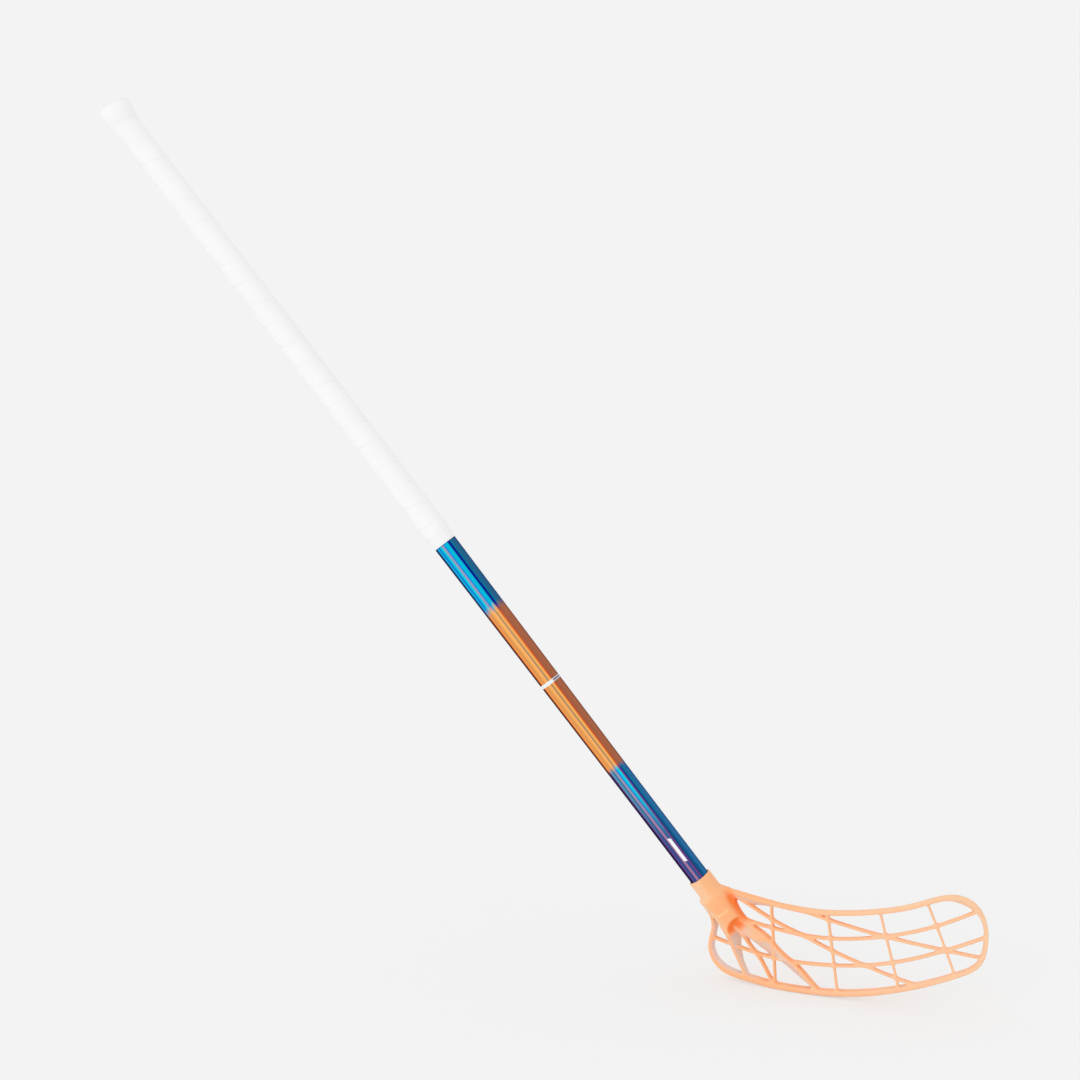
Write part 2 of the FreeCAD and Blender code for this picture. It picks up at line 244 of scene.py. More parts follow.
# %% Grid to mesh to piece
def closed_mesh(mesh, merge_distance=1e-6, sharp_angle=40):
    """Merge doubles, turn faces outwards and shade smoothly, with creases kept sharp."""
    work = bmesh.new()
    work.from_mesh(mesh)
    bmesh.ops.remove_doubles(work, verts=work.verts, dist=merge_distance)
    bmesh.ops.dissolve_degenerate(work, edges=work.edges, dist=merge_distance)
    bmesh.ops.recalc_face_normals(work, faces=work.faces)
    work.to_mesh(mesh)
    work.free()
    mesh.shade_smooth()
    mesh.set_sharp_from_angle(angle=math.radians(sharp_angle))
    return mesh


def grid_mesh(name, points, uv):
    """Quads between neighbouring points of a grid; seams and poles are closed by merging doubles."""
    rows, columns = points.shape[:2]
    index = np.arange(rows * columns).reshape(rows, columns)
    quads = np.stack([index[:-1, :-1], index[:-1, 1:], index[1:, 1:], index[1:, :-1]], -1).reshape(-1, 4)
    mesh = bpy.data.meshes.new(name)
    mesh.from_pydata(points.reshape(-1, 3), [], quads)
    layer = mesh.uv_layers.new(name="surface")
    layer.data.foreach_set("uv", uv.reshape(-1, 2)[quads.ravel()].astype(np.float32).ravel())
    return closed_mesh(mesh)


def turned(name, radius, station, steps=96):
    """Profile of radii and stations, carried round the axis; share 0.5 of a turn is the printed side."""
    share = np.linspace(0, 1, steps + 1)
    angle = print_angle + math.pi * (2 * share - 1)
    radius = np.asarray(radius, float)[:, None]
    station = np.asarray(station, float)[:, None]
    uv = np.stack(np.broadcast_arrays(share[None, :], station / shaft_end), -1)
    return grid_mesh(name, around(angle[None, :], radius, station), uv)


def add_piece(name, mesh, material, slot, *nodes):
    """Put a mesh into the scene, on the stick's one body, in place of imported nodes."""
    piece = bpy.data.objects.new(name, mesh)
    bpy.context.scene.collection.objects.link(piece)
    mesh.materials.append(material)
    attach(piece, "root")
    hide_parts(*nodes)
    triangles = len(mesh.loops) - 2 * len(mesh.polygons)
    edges_open = 2 * len(mesh.edges) - len(mesh.loops)
    print(name, "has", triangles, "triangles and", edges_open, "open edges")


# %% [markdown]
# ## The lacquered shaft
# The real shaft is a tapering tube under a mirror-like lacquer that changes colour along its length:
# blue, then orange, then blue and violet. Long streaks run down it, because a slim cylinder draws every
# reflection out into a line. Painting the streaks as bands round the shaft, and not leaving them to the
# lamps, keeps them on the stick from every side. One list of bands per zone holds them, and the zones
# fade into each other.

# %% Lacquer colours and streaks
navy = paint(6, 40, 100)
midnight = paint(18, 18, 76)
cobalt = paint(62, 88, 156)
ultramarine = paint(4, 20, 146)
azure = paint(0, 122, 212)
sky = paint(26, 182, 240)
cyan = paint(0, 206, 236)
surf = paint(0, 190, 224)
lagoon = paint(88, 172, 196)
teal = paint(6, 118, 150)
deep_teal = paint(8, 90, 140)
steel = paint(42, 106, 158)
slate = paint(38, 96, 138)
lilac = paint(158, 152, 178)
mauve = paint(168, 124, 164)
plum = paint(112, 66, 138)
violet = paint(84, 70, 140)
umber = paint(72, 30, 18)
flame = paint(226, 82, 38)
orange = paint(250, 164, 86)
amber = paint(255, 180, 90)
coral = paint(250, 176, 108)
sand = paint(232, 158, 92)
sage = paint(170, 142, 100)
brick = paint(168, 100, 70)


def streaks(*bands):
    """Stops of a ramp: a band holds its colour from start to end, and fades into the next band."""
    return [(place, colour) for *places, colour in bands for place in places]


# Bands are shares of half a turn, which the other half repeats. The dark bands at both ends are painted
# shade on the shaft's sides, and the bright bands between them are painted reflections
upper_streaks = streaks(
    (0.0, 0.175, navy), (0.205, 0.255, sky), (0.277, 0.3, azure), (0.32, 0.365, cyan),
    (0.393, 0.425, lilac), (0.447, 0.46, azure), (0.485, 0.563, surf), (0.588, 0.632, ultramarine),
    (0.665, 0.69, teal), (0.725, 0.9, slate), (1.0, violet))
middle_streaks = streaks(
    (0.0, 0.16, umber), (0.19, flame), (0.215, 0.285, orange), (0.305, 0.345, sand), (0.37, 0.4, amber),
    (0.42, 0.447, coral), (0.463, 0.492, sage), (0.508, coral), (0.54, 0.566, amber), (0.58, 0.602, flame),
    (0.618, 0.9, brick), (1.0, umber))
lower_streaks = streaks(
    (0.0, 0.185, midnight), (0.208, 0.232, plum), (0.28, 0.315, lagoon), (0.335, 0.352, steel),
    (0.383, 0.43, lilac), (0.455, 0.47, azure), (0.49, 0.54, cyan), (0.56, lagoon), (0.58, 0.6, plum),
    (0.62, 0.637, ultramarine), (0.66, 0.7, teal), (0.745, 0.9, steel), (1.0, violet))
lower_end_streaks = streaks(
    (0.0, 0.2, midnight), (0.23, 0.255, plum), (0.29, 0.335, cobalt), (0.36, navy), (0.392, 0.44, mauve),
    (0.468, violet), (0.495, deep_teal), (0.52, cobalt), (0.55, 0.58, plum), (0.605, navy),
    (0.63, 0.68, deep_teal), (0.725, 0.9, steel), (1.0, violet))
zones = (upper_streaks, middle_streaks, lower_streaks, lower_end_streaks)
print("stops in the four zones:", [len(stops) for stops in zones])

# %% Shaft lacquer
middle_start, middle_end, lower_change = (0.5915, 0.6025), (0.7825, 0.7895), (0.80, 0.885)
ring_station, ring_half_width, ring_core = 0.6845, 0.0017, 0.0006
bar_start, bar_end, bar_slant = 0.8690, 0.8955, 0.016
bar_low, bar_high = 0.425, 0.525        # across the printed side, as shares of its half turn
print_blur, core_blur, bar_side_blur = 0.0002, 0.0003, 0.004
seam_line = 0.0009                      # the dark line where the lacquer starts under the band
white_print = paint(246, 248, 250)
ice_print = paint(214, 234, 246)
# The print's colours in painted shade, for its shaded side
white_print_in_shade = paint(196, 200, 210)
ice_print_in_shade = paint(92, 84, 90)


def shaft_lacquer():
    """Streaks by angle as painted reflections with painted shade at the sides, zones by station, and a
    printed ring and a blank printed bar that painted shade greys on one side, under a clear coat.
    """
    material, shader, wire = new_finish("shaft_lacquer", {
        "Coat Roughness": 0.1, "Coat IOR": 1.4, "Specular Tint": (0.35, 0.35, 0.4, 1)})
    share, down_share = wire.surface()
    station = down_share * shaft_end
    half_turn = wire.maths("FRACT", share * 2 - 0.5)
    streak_place = wire.node("ShaderNodeCombineXYZ", None, {0: half_turn * 60, 1: station * 6})
    fine_streaks = wire.noise(1.0, 3.0, streak_place)
    zone_edge = (wire.noise(0.16, 1.0, streak_place) - 0.5) * 0.014
    place = half_turn + (fine_streaks - 0.5) * 0.012
    upper, middle, lower, lower_end = [
        wire.node("ShaderNodeValToRGB", {"stops": stops}, {0: place}) for stops in zones]
    lower = station.step(*lower_change).mix(lower, lower_end)
    colour = (station + zone_edge).step(*middle_start).mix(upper, middle)
    colour = (station + zone_edge * 0.5).step(*middle_end).mix(colour, lower)
    colour = wire.node("ShaderNodeMix", {"data_type": "RGBA", "blend_type": "MULTIPLY"},
                       {0: 1.0, 6: colour, 7: fine_streaks * 0.5 + 0.77}, 2)
    # Painted shade: the print greys on one side of each half turn
    painted_shade_side = half_turn.step(0.57, 0.63)
    core = station.between(ring_station - ring_core, ring_station + ring_core, core_blur)
    print_tone = core.mix(painted_shade_side.mix(white_print, white_print_in_shade), painted_shade_side.mix(ice_print, ice_print_in_shade))
    ring = station.between(ring_station - ring_half_width, ring_station + ring_half_width, print_blur)
    slant = station - (half_turn - bar_low) * bar_slant
    bar = slant.between(bar_start, bar_end, print_blur)
    bar = bar * half_turn.between(bar_low, bar_high, bar_side_blur)
    printed = wire.maths("MAXIMUM", ring, bar * share.between(0.25, 0.75, 0.01))
    colour = printed.mix(colour, print_tone)
    colour = (1 - station.step(band_end, band_end + seam_line)).mix(colour, midnight)
    feed(shader, {"Base Color": colour, "Metallic": 1 - printed, "Coat Weight": 0.1 - printed * 0.05,
                  "Roughness": 0.24 + fine_streaks * 0.16 + printed * 0.2})
    return material


lacquer = shaft_lacquer()
print("lacquer zones change at stations", middle_start, middle_end, lower_change)

# %% [markdown]
# ### The tube under the lacquer
# The tube is straight under the grip, tapers below it and is straight again at its lower end. A profile
# that runs down the outside and back up the bore, carried round the axis, is one closed wall. The taper
# is a power of the share that is left of it, because the real tube slims quickly at first and then more
# slowly.

# %% Shaft tube
tip_radius, tube_wall = 0.00965, 0.0014
taper_start, taper_end, taper_power = 0.505, 0.850, 1.2

outer_stations = np.linspace(shaft_top, shaft_end, 161)
taper = np.clip((outer_stations - taper_start) / (taper_end - taper_start), 0, 1)
outer_radii = tip_radius + (shaft_radius - tip_radius) * (1 - taper) ** taper_power
tube_radius = np.concatenate([outer_radii, outer_radii[::-8] - tube_wall, outer_radii[:1]])
tube_station = np.concatenate([outer_stations, outer_stations[::-8], outer_stations[:1]])
tube_mesh = turned("lacquered_shaft", tube_radius, tube_station, 128)
add_piece("lacquered_shaft", tube_mesh, lacquer, "shaft_finish", "shaft_tube")

# %% [markdown]
# ## The wound grip
# The grip is one long strip of soft white synthetic leather. Close up it has a pebbled skin and rows of
# pinholes that follow the strip, so the holes are laid out on the strip's own two coordinates, along it
# and across it. The pebbles have no direction and can be read from plain object coordinates.

# %% Grip leather
grip_white = paint(246, 246, 246)
# A grey for the leather's own clouds and grain, and for painted shade in pinholes and seams
grip_shade = paint(228, 228, 228)
strip_width, turn_length = 0.0240, 0.0817       # the strip across and once round the grip
hole_pitch = 0.0027
pebbles_per_metre = 1300.0


def grip_leather():
    """White leather: pebbles in the bump, rows of pinholes, faint clouds, and painted shade in the pinholes
    and along the seams, darker in places.
    """
    material, shader, wire = new_finish("grip_leather", {"Specular IOR Level": 0.2})
    turns, across_share = wire.surface()
    along, across = turns * turn_length, across_share * strip_width
    hole_place = wire.node("ShaderNodeCombineXYZ", None, {0: (along + across) / hole_pitch,
                                                          1: (along - across) / hole_pitch})
    from_hole = wire.node("ShaderNodeTexVoronoi", {"voronoi_dimensions": "2D"},
                          {"Vector": hole_place, "Scale": 1.0, "Randomness": 0.0})
    holes = 1 - from_hole.step(0.16, 0.24)
    pebbles = wire.node("ShaderNodeTexVoronoi", {"feature": "SMOOTH_F1"},
                        {"Vector": wire.place(), "Scale": pebbles_per_metre, "Smoothness": 0.6})
    grain = wire.noise(3200.0, 2.0)
    clouds = wire.noise(38.0, 3.0)
    seam_shade_variation = wire.noise(55.0, 1.0).step(0.38, 0.68)
    seam = (1 - across_share.step(0.0, 0.035)) + across_share.step(0.97, 1.0)
    # Clouds and grain are the leather's own tone; the darker pinholes and seams are painted shade, stronger
    # in places
    shade = clouds.step(0.35, 0.85) * 0.12 + grain * 0.06 + holes * 0.2 + seam * (0.06 + seam_shade_variation * 0.26)
    relief = pebbles * 0.5 + grain * 0.4 - holes * 0.6
    feed(shader, {"Base Color": shade.mix(grip_white, grip_shade), "Roughness": 0.62 + clouds * 0.16,
                  "Normal": relief.bump(0.2, 0.0002)})
    return material


leather = grip_leather()
print("leather ready, with pebbles every", round(1000 / pebbles_per_metre, 2), "mm")

# %% [markdown]
# ### Winding the strip
# A player winds the strip downwards from a point at the butt, over the flared knob and on to the band. A
# texture on a cylinder would show no seam at the edge, so the strip is real: its section is a closed
# loop, carried along a helix. Each turn tucks its lower edge under the lip of the next one, which gives
# the shallow step that light catches along a hand-wound grip.

# %% Grip strip
grip_radius = 0.0130
strip_pitch, strip_start_width = 0.0240, 0.0012
strip_start_angle = math.radians(25)
strip_thickness, strip_crown = 0.0011, 0.00008
strip_seat = 0.00003            # between the strip and what it lies on
lip_height = 0.00096            # how high the lip's edge is lifted by the turn that it covers
lap, tuck_fade = 0.0012, 0.002  # how far a turn reaches under the next, and how soon the last stops that
edge_width = 0.004              # a strip narrower than this has its edges scaled down
knob_sink = 0.0001              # how much lower the scene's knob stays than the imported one
strip_bore = grip_radius - strip_thickness
knob_bore = knob_radius - strip_thickness - knob_sink
knob_head, knob_flare, knob_rounding, knob_edge = 0.0080, 0.0170, 0.0006, 0.004
steps_per_turn = 72


def rise(value, start, end):
    """0 before start, 1 after end and 3s^2 - 2s^3 between, where s is the share of the way to the end.
    With the end below the start it is 1 below the end and falls to 0 at the start."""
    share = np.clip((value - start) / (end - start), 0, 1)
    return share * share * (3 - 2 * share)


def strip_bed(station):
    """Radius that the strip lies on: the knob's rounded head, its soft flare, then the straight grip."""
    flare = np.clip((station - knob_head) / knob_flare, 0, 1)
    eased = flare - 0.05 * np.sin(2 * math.pi * flare)
    return knob_bore + (strip_bore - knob_bore) * eased - knob_rounding * rise(station, knob_edge, 0)


def wound_strip():
    """A closed section carried along a helix: station = start + pitch * turns, angle = start + turns.
    The section lists places across the strip and heights over its bed: up the lip, over the crowned
    body, down to the edge that the next turn covers, and back along the underside."""
    turns_total = (grip_end - strip_start_width) / strip_pitch + 0.985
    turns = np.linspace(0, turns_total, int(turns_total * steps_per_turn))[:, None]
    lower_free = strip_start_width + strip_pitch * turns
    upper = np.where(turns < 1, strip_start_width * turns, lower_free - strip_pitch)
    width = np.minimum(lower_free, grip_end) - upper
    scale = np.minimum(1, width / edge_width)
    tucked = rise(lower_free, grip_end + tuck_fade, grip_end)
    lip = strip_seat + lip_height * rise(turns, 0.9, 1.05)
    reach = lap * tucked * scale
    top = strip_thickness
    mid = np.linspace(0, 1, 9)[None, 1:-1]
    section_points = [
        (0, lip), (0.00006 * scale, 0.5 * lip + 0.00056), (0.0002 * scale, 0.00108), (0.0005 * scale, top),
        (0.0005 * scale + (width - 0.0011 * scale) * mid, top + strip_crown * (1 - (2 * mid - 1) ** 2)),
        (width - 0.0006 * scale, top - 0.00002 * tucked), (width - 0.00025 * scale, top - 0.00005 * tucked),
        (width, top - 0.00013 * tucked), (width + 0.5 * reach, top - 0.00030 * tucked),
        (width + reach, top - 0.00036 * tucked), (width + reach, strip_seat), (0.75 * width, strip_seat),
        (0.45 * width + 0.0006 * scale, strip_seat), (0.0018 * scale, strip_seat),
        (0.0014 * scale, 0.9 * lip), (0, lip)]
    offset = np.hstack([across + 0 * width for across, _ in section_points])
    height = np.hstack([over + 0 * width for _, over in section_points])
    station = upper + offset
    points = around(strip_start_angle + 2 * math.pi * turns, strip_bed(station) + height, station)
    ends = points[[0, -1]].mean(1, keepdims=True) + 0 * points[[0, -1]]
    points = np.concatenate([ends[:1], points, ends[1:]])
    share = np.clip(offset / width, 0, 1)
    share = np.concatenate([share[:1], share, share[-1:]])
    along = np.concatenate([turns[:1], turns, turns[-1:]]) + 0 * share
    return grid_mesh("wound_grip_strip", points, np.stack([along, share], -1)), turns_total


strip_mesh, strip_turns = wound_strip()
add_piece("wound_grip_strip", strip_mesh, leather, "grip_wrap", "grip_strip")
print("the strip makes", round(strip_turns, 2), "turns")

# %% [markdown]
# ## The finishing band
# A short rubber sleeve closes the grip. Its ridges are too fine for a hand to feel one by one, but they
# draw thin lines of light round the shaft. A turned profile with one cosine wave per ridge shapes them,
# and painted shade darkens the grooves between them.

# %% Band rubber and band
band_ridges, ridge_height, ridge_fade = 5, 0.00042, 0.45
band_lap, band_edge, band_seat, band_sink = 0.0004, 0.00035, 0.00003, 0.0001
band_white = paint(252, 252, 252)
groove_shade_grey = paint(231, 231, 232)


def band_rubber():
    """Satin white rubber, with painted shade greying the grooves between its ridges."""
    material, shader, wire = new_finish("band_rubber", {"Specular IOR Level": 0.35})
    station = wire.surface()[1] * shaft_end
    ridges_passed = (station - band_top) * (band_ridges / (band_end - band_top))
    groove = 0.5 - 0.5 * wire.maths("COSINE", ridges_passed * (2 * math.pi))
    grain = wire.noise(1500.0, 3.0)
    clouds = wire.noise(120.0, 2.0)
    # Painted shade in the grooves; clouds and grain are the rubber's own tone
    tone = (clouds * 0.15 + grain * 0.1 + groove * 0.6).mix(band_white, groove_shade_grey)
    feed(shader, {"Base Color": tone, "Roughness": 0.45 + clouds * 0.15,
                  "Normal": grain.bump(0.15, 0.0001)})
    return material


def shaft_radius_at(station):
    """Outside radius of the tapered shaft at a station."""
    return np.interp(station, outer_stations, outer_radii)


down_band = np.linspace(0, 1, 91)
band_stations = np.linspace(min(band_top, grip_end) - band_lap, band_end, 91)
band_root = grip_radius - ridge_height - band_sink
band_foot = shaft_radius_at(band_end) + band_edge
ridge_wave = 0.5 + 0.5 * np.cos(2 * math.pi * band_ridges * down_band)
band_outer = band_root + (band_foot - band_root) * down_band ** 3
band_outer = band_outer + ridge_height * ridge_wave * (1 - ridge_fade * down_band)
band_inner = shaft_radius_at(band_stations[::-30]) + band_seat
band_radius = np.concatenate([band_outer, band_inner, band_outer[:1]])
band_station = np.concatenate([band_stations, band_stations[::-30], band_stations[:1]])
band_mesh = turned("ribbed_band", band_radius, band_station, 112)
add_piece("ribbed_band", band_mesh, band_rubber(), "band_rubber", "grip_band")

# %% [markdown]
# ## The end plug
# A plug closes the open tube at the butt. From above it is a pale disc with a soft rim and a shallow
# dish. A profile from the axis outwards, down the side and back to the axis, carried round, makes a
# closed cup.

# %% Plug plastic and end plug
plug_depth, plug_reach = node_span("end_plug")[1:]
plug_head, plug_wall, plug_floor = 0.003, 0.002, 0.0005
head_setback, stem_clearance = 0.0004, 0.0001
plug_head_radius = plug_reach - head_setback
plug_stem = shaft_radius - tube_wall - stem_clearance
rim_round, rim_flat_width = 0.0009, 0.0008
dish_depth, dish_navel = 0.0007, 0.0003


def plug_plastic():
    """Satin white plastic with a faint moulded grain."""
    material, shader, wire = new_finish("plug_plastic", {"Specular IOR Level": 0.45})
    grain = wire.noise(900.0, 3.0)
    clouds = wire.noise(90.0, 2.0)
    feed(shader, {"Base Color": clouds.mix(paint(246, 246, 246), paint(236, 236, 238)),
                  "Roughness": 0.38 + grain * 0.2, "Normal": grain.bump(0.12, 0.0001)})
    return material


rim_turn = np.linspace(0, math.pi / 2, 9)
dish_share = np.linspace(0, 1, 13)
dish_radius = (plug_head_radius - rim_round - rim_flat_width) * dish_share
dish_station = dish_depth * rise(dish_share, 1, 0.72) - dish_navel * rise(dish_share, 0.2, 0)
rim_radius = plug_head_radius - rim_round + rim_round * np.sin(rim_turn)
rim_station = rim_round - rim_round * np.cos(rim_turn)
plug_sides = [(plug_head_radius, plug_head), (plug_stem, plug_head), (plug_stem, plug_depth),
              (plug_stem - plug_wall, plug_depth), (plug_stem - plug_wall, plug_head + plug_floor),
              (0.0, plug_head + plug_floor)]
side_radius, side_station = np.array(plug_sides).T
plug_mesh = turned("end_plug_cap", np.concatenate([dish_radius, rim_radius, side_radius]),
                   np.concatenate([dish_station, rim_station, side_station]))
add_piece("end_plug_cap", plug_mesh, plug_plastic(), "plug_plastic", "end_plug")

# %% [markdown]
# ## The moulded blade
# The blade is one moulding: a rounded rim, a lattice of ribs whose crossings run into each other with
# fillets, and a round socket with a scooped end. Rib by rib meshes would cross without fillets, so the
# blade is made as a field instead: for each point of a fine grid, how far it lies from the plastic.
# Fields of single ribs are blended into one, which rounds every crossing by itself, and the surface is
# then read off where the field is zero. The grid is flat, and a last formula bends it round the hook.
# First come the lines that the ribs follow, as shares of the blade's length and height.

# %% Blade sizes and lines
blade_length, blade_height = 0.2625, 0.1040
hook_depth, heel_setback = 0.0260, 0.0100
heel_reach, sole_drop = 0.0175, 0.0660
heel_x = float(shaft_foot[0]) - heel_reach
sole_z = float(shaft_foot[2]) - sole_drop
hook_radius = (blade_length ** 2 / 4 + hook_depth ** 2) / (2 * hook_depth)
hook_x = heel_x + blade_length / 2
hook_y = heel_setback - hook_depth + hook_radius

# The outline goes from the socket's shoulder round heel, sole and toe to the socket's top, and its third
# share is of the rim's width
rim_width = 0.0064
outline_shares = [
    (-0.034, 0.665, 0.6), (0.007, 0.545, 0.7), (-0.003, 0.25, 0.75), (0.029, 0.096, 0.95),
    (0.16, 0.015, 1.0), (0.25, -0.002, 0.97), (0.348, -0.002, 0.93), (0.529, 0.023, 0.92),
    (0.67, 0.081, 0.88), (0.806, 0.168, 0.8), (0.906, 0.252, 0.72), (0.972, 0.345, 0.62),
    (0.9958, 0.535, 0.52), (0.987, 0.79, 0.58), (0.951, 0.944, 0.7), (0.897, 1.017, 0.74),
    (0.831, 1.01, 0.7), (0.76, 0.948, 0.66), (0.625, 0.867, 0.65), (0.484, 0.82, 0.65),
    (0.343, 0.808, 0.68), (0.192, 0.841, 0.58), (0.031, 0.872, 0.58)]
post_shares = [
    [(0.2345, 0.82), (0.245, 0.47), (0.257, 0.02)],
    [(0.441, 0.81), (0.457, 0.535), (0.486, 0.02)],
    [(0.626, 0.86), (0.649, 0.628), (0.674, 0.391), (0.703, 0.085)],
    [(0.788, 0.95), (0.822, 0.736), (0.854, 0.52), (0.892, 0.25)]]
rail_shares = [
    [(0.13, 0.605), (0.197, 0.581), (0.239, 0.572), (0.344, 0.55), (0.453, 0.551), (0.6, 0.593),
     (0.7, 0.643), (0.824, 0.731), (0.965, 0.872)],
    [(0.005, 0.36), (0.157, 0.31), (0.257, 0.286), (0.418, 0.291), (0.559, 0.321), (0.68, 0.374),
     (0.854, 0.499), (0.995, 0.622)],
    [(0.076, 0.83), (0.15, 0.752), (0.235, 0.655), (0.29, 0.602), (0.344, 0.557), (0.458, 0.441),
     (0.579, 0.329), (0.686, 0.231), (0.78, 0.155)],
    [(0.318, 0.8), (0.445, 0.727), (0.654, 0.611), (0.854, 0.502), (0.985, 0.42)]]
heel_brace_shares = [(0.063, 0.515), (0.087, 0.393), (0.104, 0.286), (0.141, 0.098), (0.155, 0.02)]
thin_brace_shares = [
    (0.109, 0.504), (0.137, 0.433), (0.162, 0.361), (0.195, 0.271), (0.237, 0.101), (0.259, 0.02)]
spine_right_shares = [
    (0.105, 0.66), (0.147, 0.593), (0.186, 0.544), (0.234, 0.469), (0.2545, 0.415), (0.3125, 0.3),
    (0.341, 0.252), (0.394, 0.121), (0.449, -0.01)]
spine_left_shares = [
    (0.1, 0.53), (0.13, 0.481), (0.165, 0.439), (0.212, 0.436), (0.242, 0.425), (0.26, 0.38),
    (0.325, 0.252), (0.389, 0.087), (0.424, 0.0)]
spine_back_shares = [
    (0.09, 0.5), (0.158, 0.4), (0.216, 0.3), (0.265, 0.245), (0.33, 0.14), (0.388, 0.05), (0.418, 0.0)]
flank_shares = [(0.079, 0.86), (0.101, 0.751), (0.12, 0.659), (0.137, 0.615), (0.155, 0.597), (0.174, 0.58)]
print("hook radius", round(hook_radius, 4), "m, sole at height", round(sole_z, 4))


# %% Smooth lines on the unrolled blade
def smooth_line(points, count):
    """Natural cubic spline through points, by chord length, read at evenly spaced places."""
    points = np.asarray(points, float)
    chord = np.linalg.norm(np.diff(points[:, :2], axis=0), axis=1)
    knots = np.concatenate([[0], np.cumsum(chord)])
    system = np.eye(len(points))
    inner = np.arange(1, len(points) - 1)
    system[inner, inner - 1] = chord[:-1]
    system[inner, inner] = 2 * (chord[:-1] + chord[1:])
    system[inner, inner + 1] = chord[1:]
    slopes = np.diff(points, axis=0) / chord[:, None]
    bends = np.zeros_like(points)
    bends[1:-1] = 6 * np.diff(slopes, axis=0)
    bends = np.linalg.solve(system, bends)
    at = np.linspace(0, knots[-1], count)
    piece = np.clip(np.searchsorted(knots, at) - 1, 0, len(chord) - 1)
    left = (knots[piece + 1] - at)[:, None]
    right = (at - knots[piece])[:, None]
    step = chord[piece][:, None]
    curved = (bends[piece] * left ** 3 + bends[piece + 1] * right ** 3) / (6 * step)
    straight = (points[piece] / step - bends[piece] * step / 6) * left
    return curved + straight + (points[piece + 1] / step - bends[piece + 1] * step / 6) * right


def on_sheet(shares, count=24):
    """Smooth line on the unrolled blade: arc length from the hook's middle, height above the sole."""
    size = np.ones(len(shares[0]))
    size[:2] = blade_length, blade_height
    line = smooth_line(np.array(shares) * size, count)
    line[:, 0] = hook_radius * np.arcsin((heel_x + line[:, 0] - hook_x) / hook_radius)
    return line


print("the outline's ends on the sheet:", on_sheet(outline_shares)[[0, -1], :2].round(4).tolist())

# %% [markdown]
# ### A field on a grid
# The unrolled blade lies in a flat box of grid points: u along the hook, v above the sole and w outwards.
# A rib's field comes from the distance to its line on the sheet and from the depths of its front and
# back. Boxes with rounded corners are enough for that, and a smooth least of two fields joins them with a
# fillet.

# %% The grid and the field of one rib
voxel = 0.00078
sheet_u = np.arange(-0.1600, 0.1385, voxel, dtype=np.float32)       # along the hook
sheet_v = np.arange(-0.0020, 0.1090, voxel, dtype=np.float32)       # above the sole
sheet_w = np.arange(-0.0160, 0.0245, voxel, dtype=np.float32)       # out of the hook, towards its bulge


def line_field(line):
    """Distance from each place of the sheet to a line, positive on its left, and the share passed of it."""
    start = line[:-1, :2].astype(np.float32)
    run = np.diff(line[:, :2], axis=0).astype(np.float32)
    from_u = sheet_u[:, None, None] - start[:, 0]
    from_v = sheet_v[None, :, None] - start[:, 1]
    passed = np.clip((from_u * run[:, 0] + from_v * run[:, 1]) / (run ** 2).sum(1), 0, 1)
    square = (from_u - passed * run[:, 0]) ** 2 + (from_v - passed * run[:, 1]) ** 2
    nearest = square.argmin(-1)[..., None]
    left = np.sign(np.take_along_axis(run[:, 0] * from_v - run[:, 1] * from_u, nearest, -1)[..., 0])
    distance = np.sqrt(np.take_along_axis(square, nearest, -1)[..., 0])
    share = (nearest[..., 0] + np.take_along_axis(passed, nearest, -1)[..., 0]) / len(run)
    return np.where(left < 0, -distance, distance), share


def side_of(shares, count=24):
    """Distance from each place of the sheet to the smooth line through shares, positive on its left."""
    return line_field(on_sheet(shares, count))[0]


def blended(first, second, reach):
    """Smooth least of two fields: within reach of each other they add a fillet of reach / 4 at most."""
    near = np.maximum(reach - np.abs(first - second), 0)
    return np.minimum(first, second) - near * near / (4 * reach)


def section(flat, front, back, corner, draft):
    """Field of a rib from its flat field: a rounded box between two depths, narrowed by the draft."""
    flat = flat if np.ndim(flat) == 3 else flat[..., None]
    middle = np.asarray((front + back) / 2)[..., None]
    half = np.asarray((front - back) / 2)[..., None]
    depth = np.abs(sheet_w - middle)
    across = flat + draft * depth + corner
    deep = depth - half + corner
    outside = np.hypot(np.maximum(across, 0), np.maximum(deep, 0))
    return outside + np.minimum(np.maximum(across, deep), 0) - corner


print("grid of", len(sheet_u), "x", len(sheet_v), "x", len(sheet_w), "points")

# %% [markdown]
# ### Rim and ribs
# On the real blade the rim is the thickest part, because it takes the knocks, and the posts and rails
# between are thinner. The rim's middle line lies half its width inside the outline. Near the socket and
# at the toe's upper corner the moulding leans, so there the rim's line shifts with depth. At the heel the
# rim's first stretch stands up as a leaning fin that joins the socket's left side.

# %% Rim and ribs
rim_front, rib_front, brace_front = 0.00398, 0.0026, 0.00375
rim_corner, rib_corner, heel_corner = 0.0014, 0.0009, 0.0010
rim_draft, rib_draft, heel_draft = 0.05, 0.08, 0.02
post_half_width, rail_half_width = 0.0013, 0.00163
junction_reach, brace_reach = 0.0021, 0.0010            # how far fillets reach between ribs and at braces
socket_lean, toe_lean, fin_lean = -1.02, -0.6, 0.85     # sideways shift for each unit of depth
fin_height, fin_root, fin_zone = 0.0090, 0.0005, 0.020
rim_points = 140

rim_line = on_sheet(outline_shares, rim_points)
outline_side, outline_share = line_field(rim_line)
width_share = np.interp(outline_share, np.linspace(0, 1, rim_points), rim_line[:, 2]).astype(np.float32)
rim_local = rim_width * width_share
rim_middle = outline_side - rim_local / 2
rim_flat = np.abs(rim_middle) - rim_local / 2
outside_outline = np.where(outline_side < 0, -outline_side, -rim_local)

ribs_flat = rim_flat
for half_width, lines in ((post_half_width, post_shares), (rail_half_width, rail_shares)):
    for shares in lines:
        ribs_flat = blended(ribs_flat, np.abs(side_of(shares)) - half_width, junction_reach)

